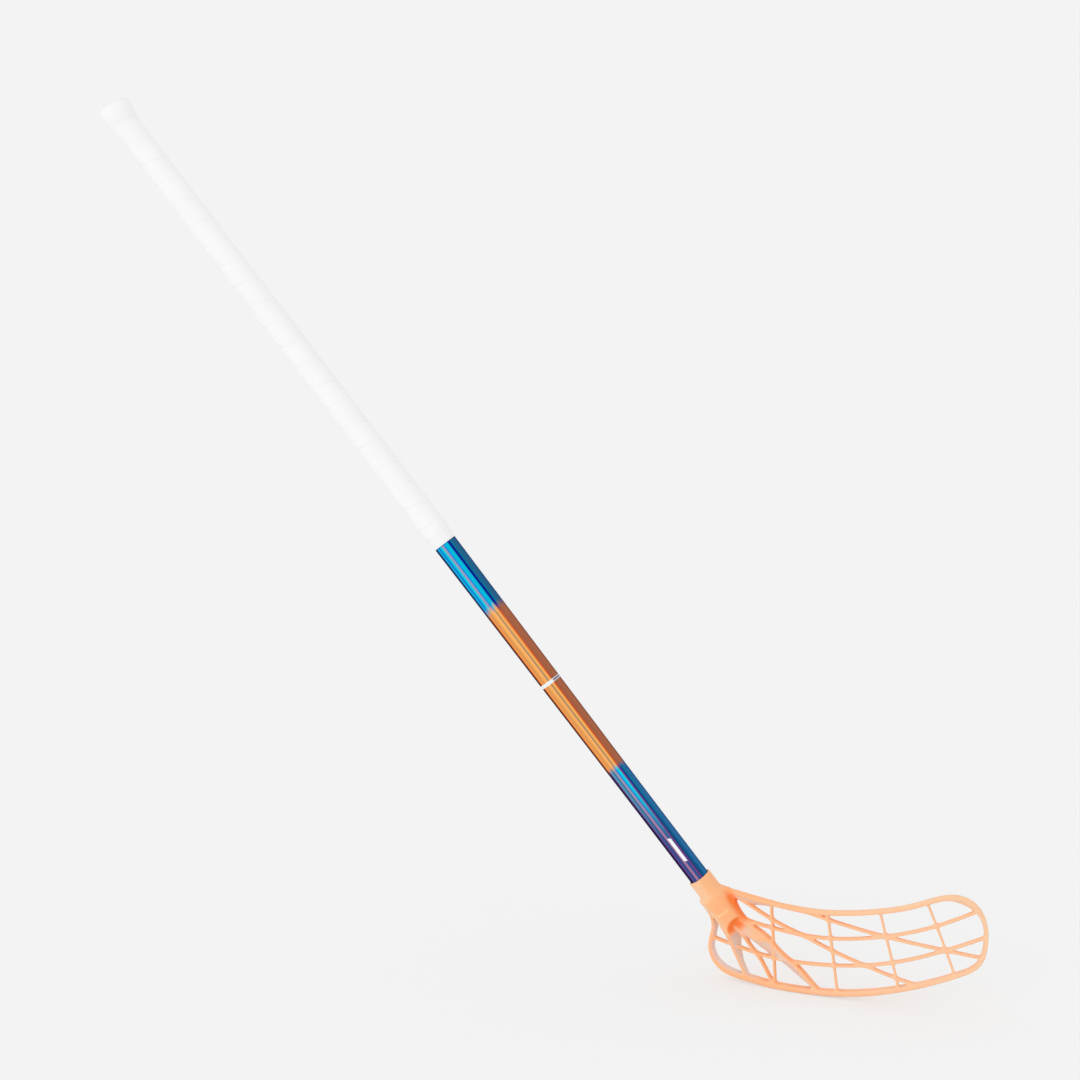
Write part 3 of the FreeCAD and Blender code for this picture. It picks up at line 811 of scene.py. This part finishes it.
at_toe_corner = np.exp(-((outline_share - 0.625) / 0.035) ** 2)
rim_lean = socket_lean * rise(outline_share, 0.88, 0.95) + toe_lean * at_toe_corner
before_front = np.maximum(sheet_w - rim_front, 0) * (outline_share < 0.2)[..., None]
rim_shift = rim_lean[..., None] * (sheet_w - rim_front) + fin_lean * before_front
rim_leaning = np.abs(rim_middle[..., None] - rim_shift) - rim_local[..., None] / 2
fin_front = rim_front + fin_height * rise(outline_share, 0.042, 0.006)
rim = section(rim_leaning, fin_front, -rim_front, rim_corner, rim_draft)

# The fin is cut square where the rim starts
start_u, start_v = rim_line[0, :2]
run_u, run_v = (rim_line[1, :2] - rim_line[0, :2]) / np.linalg.norm(rim_line[1, :2] - rim_line[0, :2])
before_start = (start_u - sheet_u[:, None]) * run_u + (start_v - sheet_v[None, :]) * run_v
near_start = np.hypot(sheet_u[:, None] - start_u, sheet_v[None, :] - start_v) < fin_zone
rim = np.maximum(rim, np.where(near_start, before_start - fin_root, -1.0)[..., None])
print("rim and", len(post_shares) + len(rail_shares), "ribs laid out")

# %% [markdown]
# ### Braces and spine under the socket
# Below the socket two braces and a broad spine carry the shaft's push into the sole. The heel brace is
# deep and widens backwards. The spine's lower left side slopes, so its edge goes from one line at the
# front to another at the back. Between socket and spine a web lies back behind the ridge along the
# spine's right edge.

# %% Braces and spine
heel_least_half_width, heel_widening = 0.0018, 0.0011
heel_deep_start, heel_deep_rise = 0.18, 0.32            # shares of the blade's height
heel_front_gain, heel_back_least, heel_back_gain = 0.0038, 0.0040, 0.0080
heel_flare = 0.32                                       # widening for each unit of depth behind the front
thin_back_low, thin_back_gain = 0.0005, 0.0040
flank_middle, flank_half_length = -0.006, 0.016
spine_overlap = 0.004                                   # how far the spine reaches past the shaft's axis
web_setback, rim_inset = 0.0016, 0.0014

foot_u = hook_radius * math.asin((shaft_foot[0] - hook_x) / hook_radius)
foot_v = shaft_foot[2] - sole_z
from_foot_u, from_foot_v = sheet_u[:, None] - foot_u, sheet_v[None, :] - foot_v
from_shaft = from_foot_u * across_shaft[0] + from_foot_v * across_shaft[2]
past_foot = from_foot_u * down_shaft[0] + from_foot_v * down_shaft[2]

height_share = sheet_v[None, :] / blade_height + 0 * outline_side
heel_side, heel_share = line_field(on_sheet(heel_brace_shares))
heel_half_width = heel_least_half_width + heel_widening * rise(heel_share, 0.5, 0)
heel_flat = np.abs(heel_side) - heel_half_width
heel_depth = np.clip((height_share - heel_deep_start) / heel_deep_rise, 0, 1)
heel_front = brace_front + heel_front_gain * heel_depth
heel_back = -heel_back_least - heel_back_gain * heel_depth
heel_slope = (heel_flare * heel_depth)[..., None] * np.maximum(heel_front[..., None] - sheet_w, 0)
heel_body = np.maximum(heel_side[..., None] - heel_slope, -heel_side[..., None])
heel_body = heel_body - heel_half_width[..., None]
thin_flat = np.abs(side_of(thin_brace_shares)) - post_half_width
thin_back = thin_back_low - thin_back_gain * rise(past_foot, 0.040, 0.028)
flank_flat = np.maximum(side_of(flank_shares), -from_shaft)
flank_flat = np.maximum(flank_flat, np.abs(past_foot - flank_middle) - flank_half_length)

spine_right = side_of(spine_right_shares, 40)
spine_left = side_of(spine_left_shares, 40)
spine_back = side_of(spine_back_shares, 40)
beside_shaft = -spine_overlap - from_shaft
spine_flat = np.maximum(np.maximum(spine_right, -spine_left), beside_shaft)
for flat in (heel_flat, thin_flat, spine_flat, flank_flat):
    ribs_flat = blended(ribs_flat, flat, junction_reach)
lattice = section(np.maximum(ribs_flat, outside_outline), rib_front, -rib_front, rib_corner, rib_draft)
lattice = blended(lattice, rim, brace_reach)

to_back = np.clip((brace_front - sheet_w) / (2 * brace_front), 0, 1)
slope_along = (spine_back - spine_left) / (2 * brace_front)
spine_edge = spine_left[..., None] * (1 - to_back) + spine_back[..., None] * to_back
spine_edge = -spine_edge / np.sqrt(1 + slope_along ** 2)[..., None]
spine_body = np.maximum(np.maximum(spine_right, beside_shaft)[..., None], spine_edge)
ridge = rise(spine_right, -0.0060, -0.0020)
web = 1 - np.maximum(ridge, rise(past_foot, 0.029, 0.038))
spine_front = brace_front - web_setback * web
within_rim = (rim_inset - outline_side)[..., None]      # braces end short of the rim's rounded edge
for brace in (section(heel_body, heel_front, heel_back, heel_corner, heel_draft),
              section(thin_flat, brace_front, thin_back, rib_corner, rim_draft),
              section(spine_body, spine_front, -brace_front, rib_corner, 0.0)):
    lattice = blended(lattice, np.maximum(brace, within_rim), brace_reach)
lattice = np.maximum(lattice, -sheet_v[None, :, None]).astype(np.float32)
print("lattice takes up", round(float((lattice < 0).sum()) * voxel ** 3 * 1e6, 1), "cubic centimetres")

# %% [markdown]
# ### The socket
# The socket grips the shaft's lower end: a slim collar, a shoulder, and a wider body whose end is scooped
# out towards the web. It is round about the leaning shaft and not about the flat sheet, so its field is
# measured on the places where the grid points come to lie once the sheet is bent. The bore is taken away
# last.

# %% Socket
insertion, shoulder_drop, socket_length = 0.0436, 0.0211, 0.0646
mouth_station = shaft_end - insertion
shoulder_station = mouth_station + shoulder_drop
socket_end_station = mouth_station + socket_length
mouth_scallop, mouth_lip, collar_overlap = 0.0011, 0.0025, 0.01
collar_radius, socket_radius = 0.01155, 0.01265
collar_corner, socket_corner, swept_corner = 0.0006, 0.0030, 0.0065
bore_radius, mouth_bore_radius = 0.01000, 0.00978
bore_overrun = 0.0003
bore_end_station = shaft_end + bore_overrun
mark_rise, mark_thickness, mark_turn, mark_half_turn = 0.0032, 0.00055, -0.28, 0.50
scoop_past_end, scoop_radius = 0.0205, 0.0140
scoop_offset = np.array([0.0050, -0.0125, 0.0030])
scoop_centre = butt + down_shaft * (shaft_end + scoop_past_end) + scoop_offset
shoulder_reach, mark_reach, scoop_reach = 0.0040, 0.0006, 0.0012      # how far its fillets reach
socket_reach, bore_reach = 0.0030, 0.0005
socket_zone_end = -0.0600
socket_columns = sheet_u < socket_zone_end


def hooked(u, v, w):
    """Bend the flat sheet round the hook: x = centre + (radius + w) sin(u / radius) and
    y = centre - (radius + w) cos(u / radius)."""
    turn = u / hook_radius
    reach = hook_radius + w
    bent = np.broadcast_arrays(hook_x + reach * np.sin(turn), hook_y - reach * np.cos(turn), sole_z + v)
    return np.stack(bent, -1)


def about_shaft(places):
    """Station, distance off the axis and angle from the printed side, for places in the part's frame."""
    from_butt = places - butt
    across, behind = from_butt @ across_shaft, from_butt @ behind_shaft
    return from_butt @ down_shaft, np.hypot(across, behind), np.arctan2(behind, across) - print_angle


def rounded_cylinder(off_axis, station, radius, first, last, corner):
    """Field of a cylinder about the shaft between two stations, with rounded ends."""
    out = off_axis - radius + corner
    past = np.abs(station - (first + last) / 2) - (last - first) / 2 + corner
    return np.hypot(np.maximum(out, 0), np.maximum(past, 0)) + np.minimum(np.maximum(out, past), 0) - corner


def mark_field(station, off_axis, turned_by):
    """Field of the short raised arc on the socket's front, over the end of the shaft."""
    round_arc = np.hypot(off_axis - socket_radius, station - shaft_end + mark_rise) - mark_thickness
    return np.maximum(round_arc, (np.abs(turned_by - mark_turn) - mark_half_turn) * socket_radius)


socket_places = hooked(sheet_u[socket_columns, None, None], sheet_v[None, :, None], sheet_w[None, None, :])
socket_station, off_axis, turned_by = about_shaft(socket_places)
from_mouth = socket_station - mouth_scallop * np.maximum(np.cos(turned_by), 0)
collar = rounded_cylinder(off_axis, from_mouth, collar_radius, mouth_station,
                          shoulder_station + collar_overlap, collar_corner)
end_corner = socket_corner + swept_corner * rise(turned_by, 0.1, 0.9) * rise(turned_by, 3.0, 2.2)
body = rounded_cylinder(off_axis, socket_station, socket_radius, shoulder_station, socket_end_station,
                        np.where(socket_station > shaft_end, end_corner, socket_corner))
socket = blended(collar, body, shoulder_reach)
socket = blended(socket, mark_field(socket_station, off_axis, turned_by), mark_reach)
scoop = np.linalg.norm(socket_places - scoop_centre, axis=-1) - scoop_radius
socket = -blended(-socket, scoop, scoop_reach)
socket_alone = np.ones_like(lattice)
socket_alone[socket_columns] = socket

bore = np.where(socket_station < mouth_station + mouth_lip, mouth_bore_radius, bore_radius)
bore = np.maximum(off_axis - bore, socket_station - bore_end_station)
plastic = lattice.copy()
plastic[socket_columns] = blended(plastic[socket_columns], socket, socket_reach)
plastic[socket_columns] = -blended(-plastic[socket_columns], bore, bore_reach)
for axis in range(3):
    plastic = (np.roll(plastic, 1, axis) + 2 * plastic + np.roll(plastic, -1, axis)) / 4
print("socket from station", round(mouth_station, 4), "to", round(socket_end_station, 4))

# %% [markdown]
# ### Reading the surface off the field
# The plastic's skin lies where the field is zero. Marching cubes would give slivers of triangles there. A
# surface net gives even quads instead: one corner in each cell that the skin passes through, and one quad
# round each grid edge that it crosses. The corners are then drawn onto the skin along the field's slope,
# and a relax that shrinks and swells by turns takes the last ripples out.


# %% From field to corners and quads
def untangled(field):
    """Lower a grid point here and there, so that no face of the grid has its insides on one diagonal only.
    Such faces would join four quads along one edge."""
    field = field.copy()
    for first, second in ((0, 1), (1, 2), (2, 0)) * 3:
        step_first, step_second = np.eye(3, dtype=int)[[first, second]]
        inside = field < 0
        right, above = np.roll(inside, -1, first), np.roll(inside, -1, second)
        crossed = (inside == np.roll(right, -1, second)) & (right == above) & (inside != right)
        start = np.argwhere(crossed)
        starts_inside = inside[tuple(start.T)][:, None]
        one = start + np.where(starts_inside, step_first, 0)
        other = start + np.where(starts_inside, step_second, step_first + step_second)
        one_is_nearer = (field[tuple(one.T)] < field[tuple(other.T)])[:, None]
        field[tuple(np.where(one_is_nearer, one, other).T)] = -1e-6
    return field


def surface_net(field):
    """Corners and quads of the zero surface: one corner in each grid cell that it crosses, at the mean
    of the crossings on the cell's edges, and one quad round each grid edge that it crosses."""
    inside = field < 0
    steps = np.eye(3, dtype=int)
    sums = np.zeros((4, field.size))
    rings = []
    for axis in range(3):
        step, side, rear = np.roll(steps, -axis, 0)
        near = tuple(slice(0, -1) if k == axis else slice(None) for k in range(3))
        far = tuple(slice(1, None) if k == axis else slice(None) for k in range(3))
        start = np.argwhere(inside[near] != inside[far])
        low = field[tuple(start.T)]
        high = field[tuple((start + step).T)]
        crossing = start + step * (low / (low - high))[:, None]
        ring = np.stack([np.ravel_multi_index(tuple((start - back).T), field.shape)
                         for back in (0 * step, side, side + rear, rear)], -1)
        for cell in ring.T:
            for k in range(3):
                sums[k] += np.bincount(cell, crossing[:, k], field.size)
            sums[3] += np.bincount(cell, minlength=field.size)
        outward = inside[tuple(start.T)]
        rings.append(np.where(outward[:, None], ring, ring[:, ::-1]))
    used = np.flatnonzero(sums[3])
    number = np.zeros(field.size, int)
    number[used] = np.arange(len(used))
    return (sums[:3, used] / sums[3, used]).T, number[np.concatenate(rings)]


def read_field(field, places):
    """Value of a field between its grid points, by straight lines along each of the three directions."""
    low = np.clip(np.floor(places).astype(int), 0, np.array(field.shape) - 2)
    part = places - low
    total = 0
    for corner in itertools.product((0, 1), repeat=3):
        weight = np.prod(np.where(corner, part, 1 - part), axis=1)
        total = total + weight * field[tuple((low + corner).T)]
    return total


def relaxed(values, quads, share):
    """Each corner's values moved by a share of the way to the mean of its neighbours along the quads."""
    here = np.concatenate([quads.ravel(), np.roll(quads, -1, 1).ravel()])
    there = np.concatenate([np.roll(quads, -1, 1).ravel(), quads.ravel()])
    count = np.bincount(here)[:, None]
    mean = np.stack([np.bincount(here, column[there]) for column in values.T], -1) / count
    return values + share * (mean - values)


plastic = untangled(plastic)
corners, quads = surface_net(plastic)
slope = np.stack([read_field(part, corners) for part in np.gradient(plastic, voxel)], -1)
slope /= np.linalg.norm(slope, axis=1, keepdims=True)
corners -= slope * (read_field(plastic, corners) / voxel)[:, None]
for share in (0.5, -0.53, 0.5, -0.53):      # shrink, then swell by as much: only ripples go
    corners = relaxed(corners, quads, share)
at_u, at_v, at_w = (np.array([sheet_u[0], sheet_v[0], sheet_w[0]]) + corners * voxel).T
places = hooked(at_u, at_v, at_w)
print("the surface has", len(corners), "corners and", len(quads), "quads")

# %% [markdown]
# ### Blade plastic
# The plastic is a soft peach polyethylene that lets some light through. In the scoop and beside the
# socket the light bounces from orange to orange, so the colour deepens there, and the thin walls inside
# the holes lie in shade and look greyer. Both are painted into the colour, as painted bounced light and
# shade, and both can be measured on the field: how slowly it grows away from the surface tells a pocket
# from open ground, and its slope tells a wall from a front. Faces turned to the left, the collar and the
# toe's rim get painted light as a paler peach. The values travel on the mesh as attributes, which a
# material can read.

# %% What the tints are measured by
edge_fade = 0.0008              # how softly most tints end at an edge
along_normal, up_normal, out_normal = slope.T
vertex_station, vertex_off_axis, vertex_turn = about_shaft(places)
past_end = vertex_station - shaft_end
off_socket = vertex_off_axis - socket_radius
length_share = (places[:, 0] - heel_x) / blade_length


def at_corners(flat):
    """Values of a flat field of the sheet at the corners of the mesh."""
    return read_field(np.repeat(flat[..., None], 2, -1), corners * (1, 1, 0))


outline_share_at, rim_flat_at = at_corners(outline_share), at_corners(rim_flat)
spine_left_at, spine_back_at = at_corners(spine_left), at_corners(spine_back)
print("corners reach", round(float(past_end.max()), 4), "m past the shaft's end")

# %% Walls inside the holes, greyed with painted shade
# Painted shade on the rim's inner side at the heel and at the toe's upper corner, and on the heel brace's
# right side
sideways = rise(np.abs(out_normal), 0.85, 0.50)
rim_inside = rise(at_corners(rim_middle - 0.2 * rim_local), 0, edge_fade)
rim_inside = rim_inside * rise(rim_flat_at, 0.0010, 0.0010 - edge_fade) * rise(off_socket, 0, 0.002)
toe_corner = np.exp(-((outline_share_at - 0.635) / 0.03) ** 2)
rim_inside = rim_inside * np.maximum(1 - 0.85 * rise(length_share, 0.10, 0.26), toe_corner)
brace_wall = rise(at_corners(heel_flat - 0.006 * heel_depth), 0.0012, 0.0012 - edge_fade)
brace_wall = brace_wall * rise(past_end, 0.0180, 0.0205)

# Painted shade on the slope under the spine, apart from the post that crosses it
slope_share = np.clip(-spine_left_at / np.maximum(spine_back_at - spine_left_at, 1e-4), 0, 1)
off_slope = np.abs(at_w - brace_front * (1 - 2 * slope_share))
under_spine = rise(spine_left_at, 0.0002, 0.0002 - edge_fade)
under_spine = under_spine * rise(spine_back_at, -0.0016, edge_fade - 0.0016)
under_spine = under_spine * rise(off_slope, 0.0026, 0.0014) * (out_normal > -0.2)
first_post = np.abs(side_of(post_shares[0])) - post_half_width
on_post = rise(at_corners(first_post), 0.0010, 0.0004) * rise(at_w, 0.0010, 0.0010 + edge_fade)
under_spine = under_spine * (1 - on_post)

# Painted shade on the underside of the top rim beside the socket, and a greyer patch of painted shade in
# the middle of the web
under_rim = rise(outline_share_at, 0.885, 0.915) * rise(at_w, 0.0034, 0.0028)
under_rim = under_rim * rise(at_corners(outline_side - rim_local), 0, edge_fade)
under_rim = under_rim * rise(at_corners(outline_side), 0.013, 0.012) * (up_normal < -0.2) * (out_normal > 0)
off_patch = np.hypot(at_corners(past_foot) - 0.0245, at_corners(from_shaft) - 0.0095) / 0.0058
web_patch = np.exp(-off_patch ** 2) * (out_normal > 0.3)
brace_wall = sideways * brace_wall
wall = np.maximum.reduce([sideways * rim_inside, brace_wall, under_spine, under_rim, 0.65 * web_patch])
print("share of corners on walls:", round(float(wall.mean()), 3))

# %% Pockets painted deep orange, as painted bounced light and shade
pocket_reach = 0.0090
on_right = rise(vertex_turn, 2.0, 1.6)
# Painted shade in the crease along the socket's right side
crease = rise(vertex_turn, 0.35, 1.0) * on_right * rise(off_socket, 0.007, 0.002)
crease = crease * rise(past_end, -0.023, -0.007) * rise(past_end, 0.020, 0.012)
open_share = read_field(plastic, corners + slope * (pocket_reach / voxel)) / pocket_reach
pocket = rise(open_share, 0.80, 0.25) * rise(vertex_turn, -0.2, 0.2) * on_right
pocket = pocket * rise(past_end, -0.022, -0.010) * rise(past_end, 0.022, 0.014)
pocket = pocket * rise(off_socket, 0.013, 0.001)
off_scoop = np.abs(np.linalg.norm(places - scoop_centre, axis=1) - scoop_radius)
in_scoop = rise(off_scoop, 0.0013, 0.0001) * rise(places[:, 2] - scoop_centre[2], -0.0050, -0.0020)
in_scoop = in_scoop * rise(read_field(socket_alone, corners), 0.0012, 0.0012 - edge_fade)
web_start = at_corners(web) * rise(at_corners(spine_flat), 0, -0.001) * (out_normal > 0.3)
web_start = web_start * rise(past_end, 0.0225, 0.0150) * (at_w < 0.004)

# Painted bounced light on narrow tops of the ribs and the rim's inner side, where the next rib throws its
# orange back
facing_up = rise(out_normal, 0.8, 0.3) * rise(up_normal, 0.15, 0.55) * (out_normal > -0.3)
facing_up = facing_up * rise(at_corners(rim_middle), 0, edge_fade) * rise(length_share, 0.12, 0.32)
facing_up = facing_up * (0.3 - 0.2 * rise(length_share, 0.45, 0.75))
deep = np.maximum.reduce([pocket, in_scoop, crease, web_start, facing_up])
deep = deep * (1 - brace_wall) * (1 - under_spine)
print("share of corners in pockets:", round(float(deep.mean()), 3))

# %% Painted light on faces turned left, on the collar and on the toe's rim, and a painted highlight on the raised arc
# Painted highlight on the raised arc over the shaft's end
mark = rise(mark_field(vertex_station, vertex_off_axis, vertex_turn), 0.0004, 0)
turned_left = rise(along_normal, 0.35, -0.65)
on_collar = rise(past_end, -0.014, -0.026) * (0.15 + 0.6 * rise(np.cos(vertex_turn + 1.1), 0.35, 0.95))
toe_rim = 0.7 * rise(rim_flat_at, edge_fade, 0) * rise(length_share, 0.65, 0.95)
pale = np.maximum.reduce([turned_left, on_collar, toe_rim])
tints = np.stack([deep, wall, pale], -1)
for _ in range(4):
    tints = relaxed(tints, quads, 0.6)
deep, wall, pale = tints.T
print("share of pale corners after blurring:", round(float(pale.mean()), 3))

# %% Blade plastic and blade
peach = paint(254, 180, 125)
pale_peach = paint(253, 199, 160)
# Painted light: a paler peach on faces turned to the left, the collar and the toe's rim
painted_light_peach = paint(248, 208, 170)
# Painted bounced light and shade for the pockets
bounce_and_shade_orange = paint(255, 136, 58)
# Painted shade for the walls inside the holes
wall_shade_rose = paint(236, 211, 204)
wall_shade_sand = paint(232, 204, 188)
# Painted highlight for the raised arc
mark_highlight = paint(255, 214, 160)


def blade_plastic():
    """Peach that pales towards the toe, with painted light where it turns left, painted bounced light and
    shade deepening it in pockets, painted shade greying the walls inside the holes and a painted highlight
    on the raised arc.
    """
    material, shader, wire = new_finish("blade_plastic", {
        "Specular IOR Level": 0.35, "Subsurface Weight": 0.15, "Subsurface Radius": (0.006, 0.0025, 0.0012),
        "Subsurface Scale": 0.5})
    from_heel = wire.node("ShaderNodeSeparateXYZ", None, {0: wire.place()}, 0) - heel_x
    measured = {name: wire.node("ShaderNodeAttribute", {"attribute_name": name}, output="Fac")
                for name in ("deep", "wall", "pale", "mark")}
    clouds = wire.noise(70.0, 3.0)
    grain = wire.noise(1400.0, 2.0)
    tone = (from_heel.step(0.03, 0.18) * 0.75 + (clouds - 0.5) * 0.3).mix(peach, pale_peach)
    # Painted light on faces turned left, the collar and the toe's rim
    tone = (measured["pale"] * 0.8).mix(tone, painted_light_peach)
    # Painted shade greys the walls inside the holes
    wall_shade_tone = from_heel.step(0.01, 0.03).mix(wall_shade_rose, wall_shade_sand)
    tone = (measured["wall"] * 0.95).mix(tone, wall_shade_tone)
    # Painted bounced light and shade in the pockets
    tone = measured["deep"].mix(tone, bounce_and_shade_orange)
    # Painted highlight on the raised arc
    tone = (measured["mark"] * 0.7).mix(tone, mark_highlight)
    feed(shader, {"Base Color": tone, "Roughness": 0.40 + clouds * 0.12 + grain * 0.06,
                  "Normal": grain.bump(0.10, 0.0001)})
    return material


blade_mesh = bpy.data.meshes.new("moulded_blade")
blade_mesh.from_pydata(places, [], quads)
for name, values in (("deep", deep), ("wall", wall), ("pale", pale), ("mark", mark)):
    blade_mesh.attributes.new(name, "FLOAT", "POINT").data.foreach_set("value", values.astype(np.float32))
blade_mesh.shade_smooth()
add_piece("moulded_blade", blade_mesh, blade_plastic(), "blade_plastic", "blade")

# %% [markdown]
# ## The locking screw
# One small screw goes through the back of the socket and keeps the blade on the shaft. Its head is a dome
# with a six-sided recess. The recess needs no cutting: its radius changes with the angle as a hexagon's
# does.

# %% Screw steel and screw
screw_drop, screw_gap = 0.0130, 0.00005
screw_station = mouth_station + screw_drop
screw_seat = collar_radius + screw_gap
head_radius, head_height = 0.00275, 0.0016
shank_radius, shank_reach, shank_point = 0.00125, 0.0057, 0.001
recess_radius, recess_depth = 0.0011, 0.0010


def screw_steel():
    """Zinc-plated steel with a fine grain in two tones."""
    material, shader, wire = new_finish("screw_steel", {"Metallic": 1.0})
    grain = wire.noise(2600.0, 3.0)
    feed(shader, {"Base Color": grain.mix(paint(176, 178, 182), paint(208, 210, 214)),
                  "Roughness": 0.24 + grain * 0.22, "Normal": grain.bump(0.2, 0.00005)})
    return material


def screw_points():
    """Rings from the recess floor over the dome and down the shank. The recess is a hexagon: its radius
    is its inner radius over the cosine of the angle from the nearest side's middle."""
    angle = np.linspace(0, 2 * math.pi, 73)[None, :]
    sixth = math.pi / 3
    hexagon = recess_radius / np.cos(np.mod(angle, sixth) - sixth / 2) * math.cos(sixth / 2)
    dome = np.linspace(0.46, math.pi / 2, 9)[:, None]
    recess_floor = head_height - recess_depth
    rings = [(0, recess_floor), (hexagon, recess_floor), (hexagon, head_height * 0.96),
             (head_radius * np.sin(dome), head_height * (0.35 + 0.65 * np.cos(dome))),
             (head_radius, 0), (shank_radius, 0), (shank_radius, shank_point - shank_reach),
             (0, -shank_reach)]
    radius = np.concatenate([out + 0 * angle for out, _ in rings])
    height = np.concatenate([up + 0 * angle for _, up in rings]) + screw_seat
    centre = butt + screw_station * down_shaft
    side = (radius * np.cos(angle))[..., None] * across_shaft
    side = side + (radius * np.sin(angle))[..., None] * down_shaft
    return centre + side + height[..., None] * behind_shaft


screw_grid = screw_points()
screw_mesh = grid_mesh("locking_screw", screw_grid, screw_grid[..., :2])
add_piece("locking_screw", screw_mesh, screw_steel(), "screw_steel", "blade_screw")

# %% [markdown]
# ## What lies under the grip and in the socket
# The knob's ring, the backing tape and the socket's tape are covered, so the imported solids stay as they
# are. They still get their own finishes, for the day that someone takes the stick apart.


# %% Covered layers
def covered_finish(name, dark, light, scale, roughness):
    """A matt layer with a fine grain in two tones."""
    material, shader, wire = new_finish(name, {"Specular IOR Level": 0.25})
    grain = wire.noise(scale, 4.0)
    feed(shader, {"Base Color": grain.mix(dark, light), "Roughness": roughness + grain * 0.1,
                  "Normal": grain.bump(0.4, 0.0002)})
    return material


foam_tones = paint(206, 206, 206), paint(228, 228, 228)
backing_tones = paint(208, 208, 206), paint(228, 228, 226)
tape_tones = paint(214, 212, 204), paint(232, 230, 224)
covered = {
    "knob_sleeve": covered_finish("knob_foam", *foam_tones, 900.0, 0.80),
    "grip_underlay": covered_finish("underlay_tape", *backing_tones, 600.0, 0.70),
    "blade_tape": covered_finish("socket_tape", *tape_tones, 700.0, 0.65),
}
for node, material in covered.items():
    frame["nodes"][node].data.materials.clear()
    frame["nodes"][node].data.materials.append(material)
print("covered layers:", ", ".join(covered))

# %% [markdown]
# ## Floor, world and lamps
# A product picture has an even pale ground. The floor shows the camera mostly its own pale colour and
# lets a little of the real light through, so that the soft shadow under the blade stays. The world shows
# the same pale colour to the camera and to reflections. Soft suns light every part of the stick alike,
# wherever it is.

# %% Floor
ground = paint(243, 243, 243)
floor_reach, floor_gap = 150.0, 0.0002
floor_share = 0.55                      # how much of the floor's look is its own plain colour
floor_glow = 1.013                      # makes up for the little light that the floor misses


def seen_directly(wire):
    """1 for rays from the camera and for mirrored or refracted ones, 0 for scattered light."""
    camera_ray, glossy, through = [wire.node("ShaderNodeLightPath", output=kind)
                                   for kind in ("Is Camera Ray", "Is Glossy Ray", "Is Transmission Ray")]
    return camera_ray + glossy + through


def floor_finish():
    """Matt pale floor; camera and reflections see it mixed with an even glow of the ground's colour."""
    material = bpy.data.materials.new("floor_paper")
    material.use_nodes = True
    material.node_tree.nodes.clear()
    wire = Wire(material.node_tree)
    matt = wire.node("ShaderNodeBsdfDiffuse", None, {"Color": ground})
    glow = wire.node("ShaderNodeEmission", None, {"Color": ground, "Strength": floor_glow})
    both = wire.node("ShaderNodeMixShader", None, {0: seen_directly(wire) * floor_share, 1: matt, 2: glow})
    wire.node("ShaderNodeOutputMaterial", None, {"Surface": both})
    return material


floor_mesh = bpy.data.meshes.new("floor")
floor_corner = floor_reach * np.array([(-1, -1), (1, -1), (1, 1), (-1, 1)])
floor_level = float(places[:, 2].min()) - floor_gap
floor_mesh.from_pydata(np.c_[floor_corner, np.full(4, floor_level)], [], [(0, 1, 2, 3)])
floor_mesh.materials.append(floor_finish())
floor = bpy.data.objects.new("floor", floor_mesh)
bpy.context.scene.collection.objects.link(floor)
print("floor at height", round(floor_level, 4))

# %% World and lamps
ambient = 0.915


def world_light():
    """Camera and reflections see the ground's colour; everything else gets an even, dimmer light."""
    world = bpy.data.worlds.new("studio")
    bpy.context.scene.world = world
    world.use_nodes = True
    world.node_tree.nodes.clear()
    wire = Wire(world.node_tree)
    plain = wire.node("ShaderNodeBackground", None, {"Color": (1, 1, 1, 1), "Strength": ambient})
    pale_ground = wire.node("ShaderNodeBackground", None, {"Color": ground, "Strength": 1.0})
    both = wire.node("ShaderNodeMixShader", None, {0: seen_directly(wire), 1: plain, 2: pale_ground})
    wire.node("ShaderNodeOutputWorld", None, {"Surface": both})


def sun(name, strength, soft_degrees, towards):
    """A soft sun; towards is the direction from the stick to the light."""
    light = bpy.data.lights.new(name, "SUN")
    light.energy = strength
    light.angle = math.radians(soft_degrees)
    lamp = bpy.data.objects.new(name, light)
    lamp.rotation_euler = Vector(towards).to_track_quat("Z", "Y").to_euler()
    bpy.context.scene.collection.objects.link(lamp)


world_light()
sun("key", 0.60, 45, (-0.45, -0.99, 0.28))
sun("fill", 0.10, 60, (0.6, 0.8, 0.9))
print("lamps: key and fill, with an ambient of", ambient)

# %% [markdown]
# ## Close
# The lesson ends by setting the view transform to Standard.

# %% View transform
bpy.context.scene.view_settings.view_transform = "Standard"
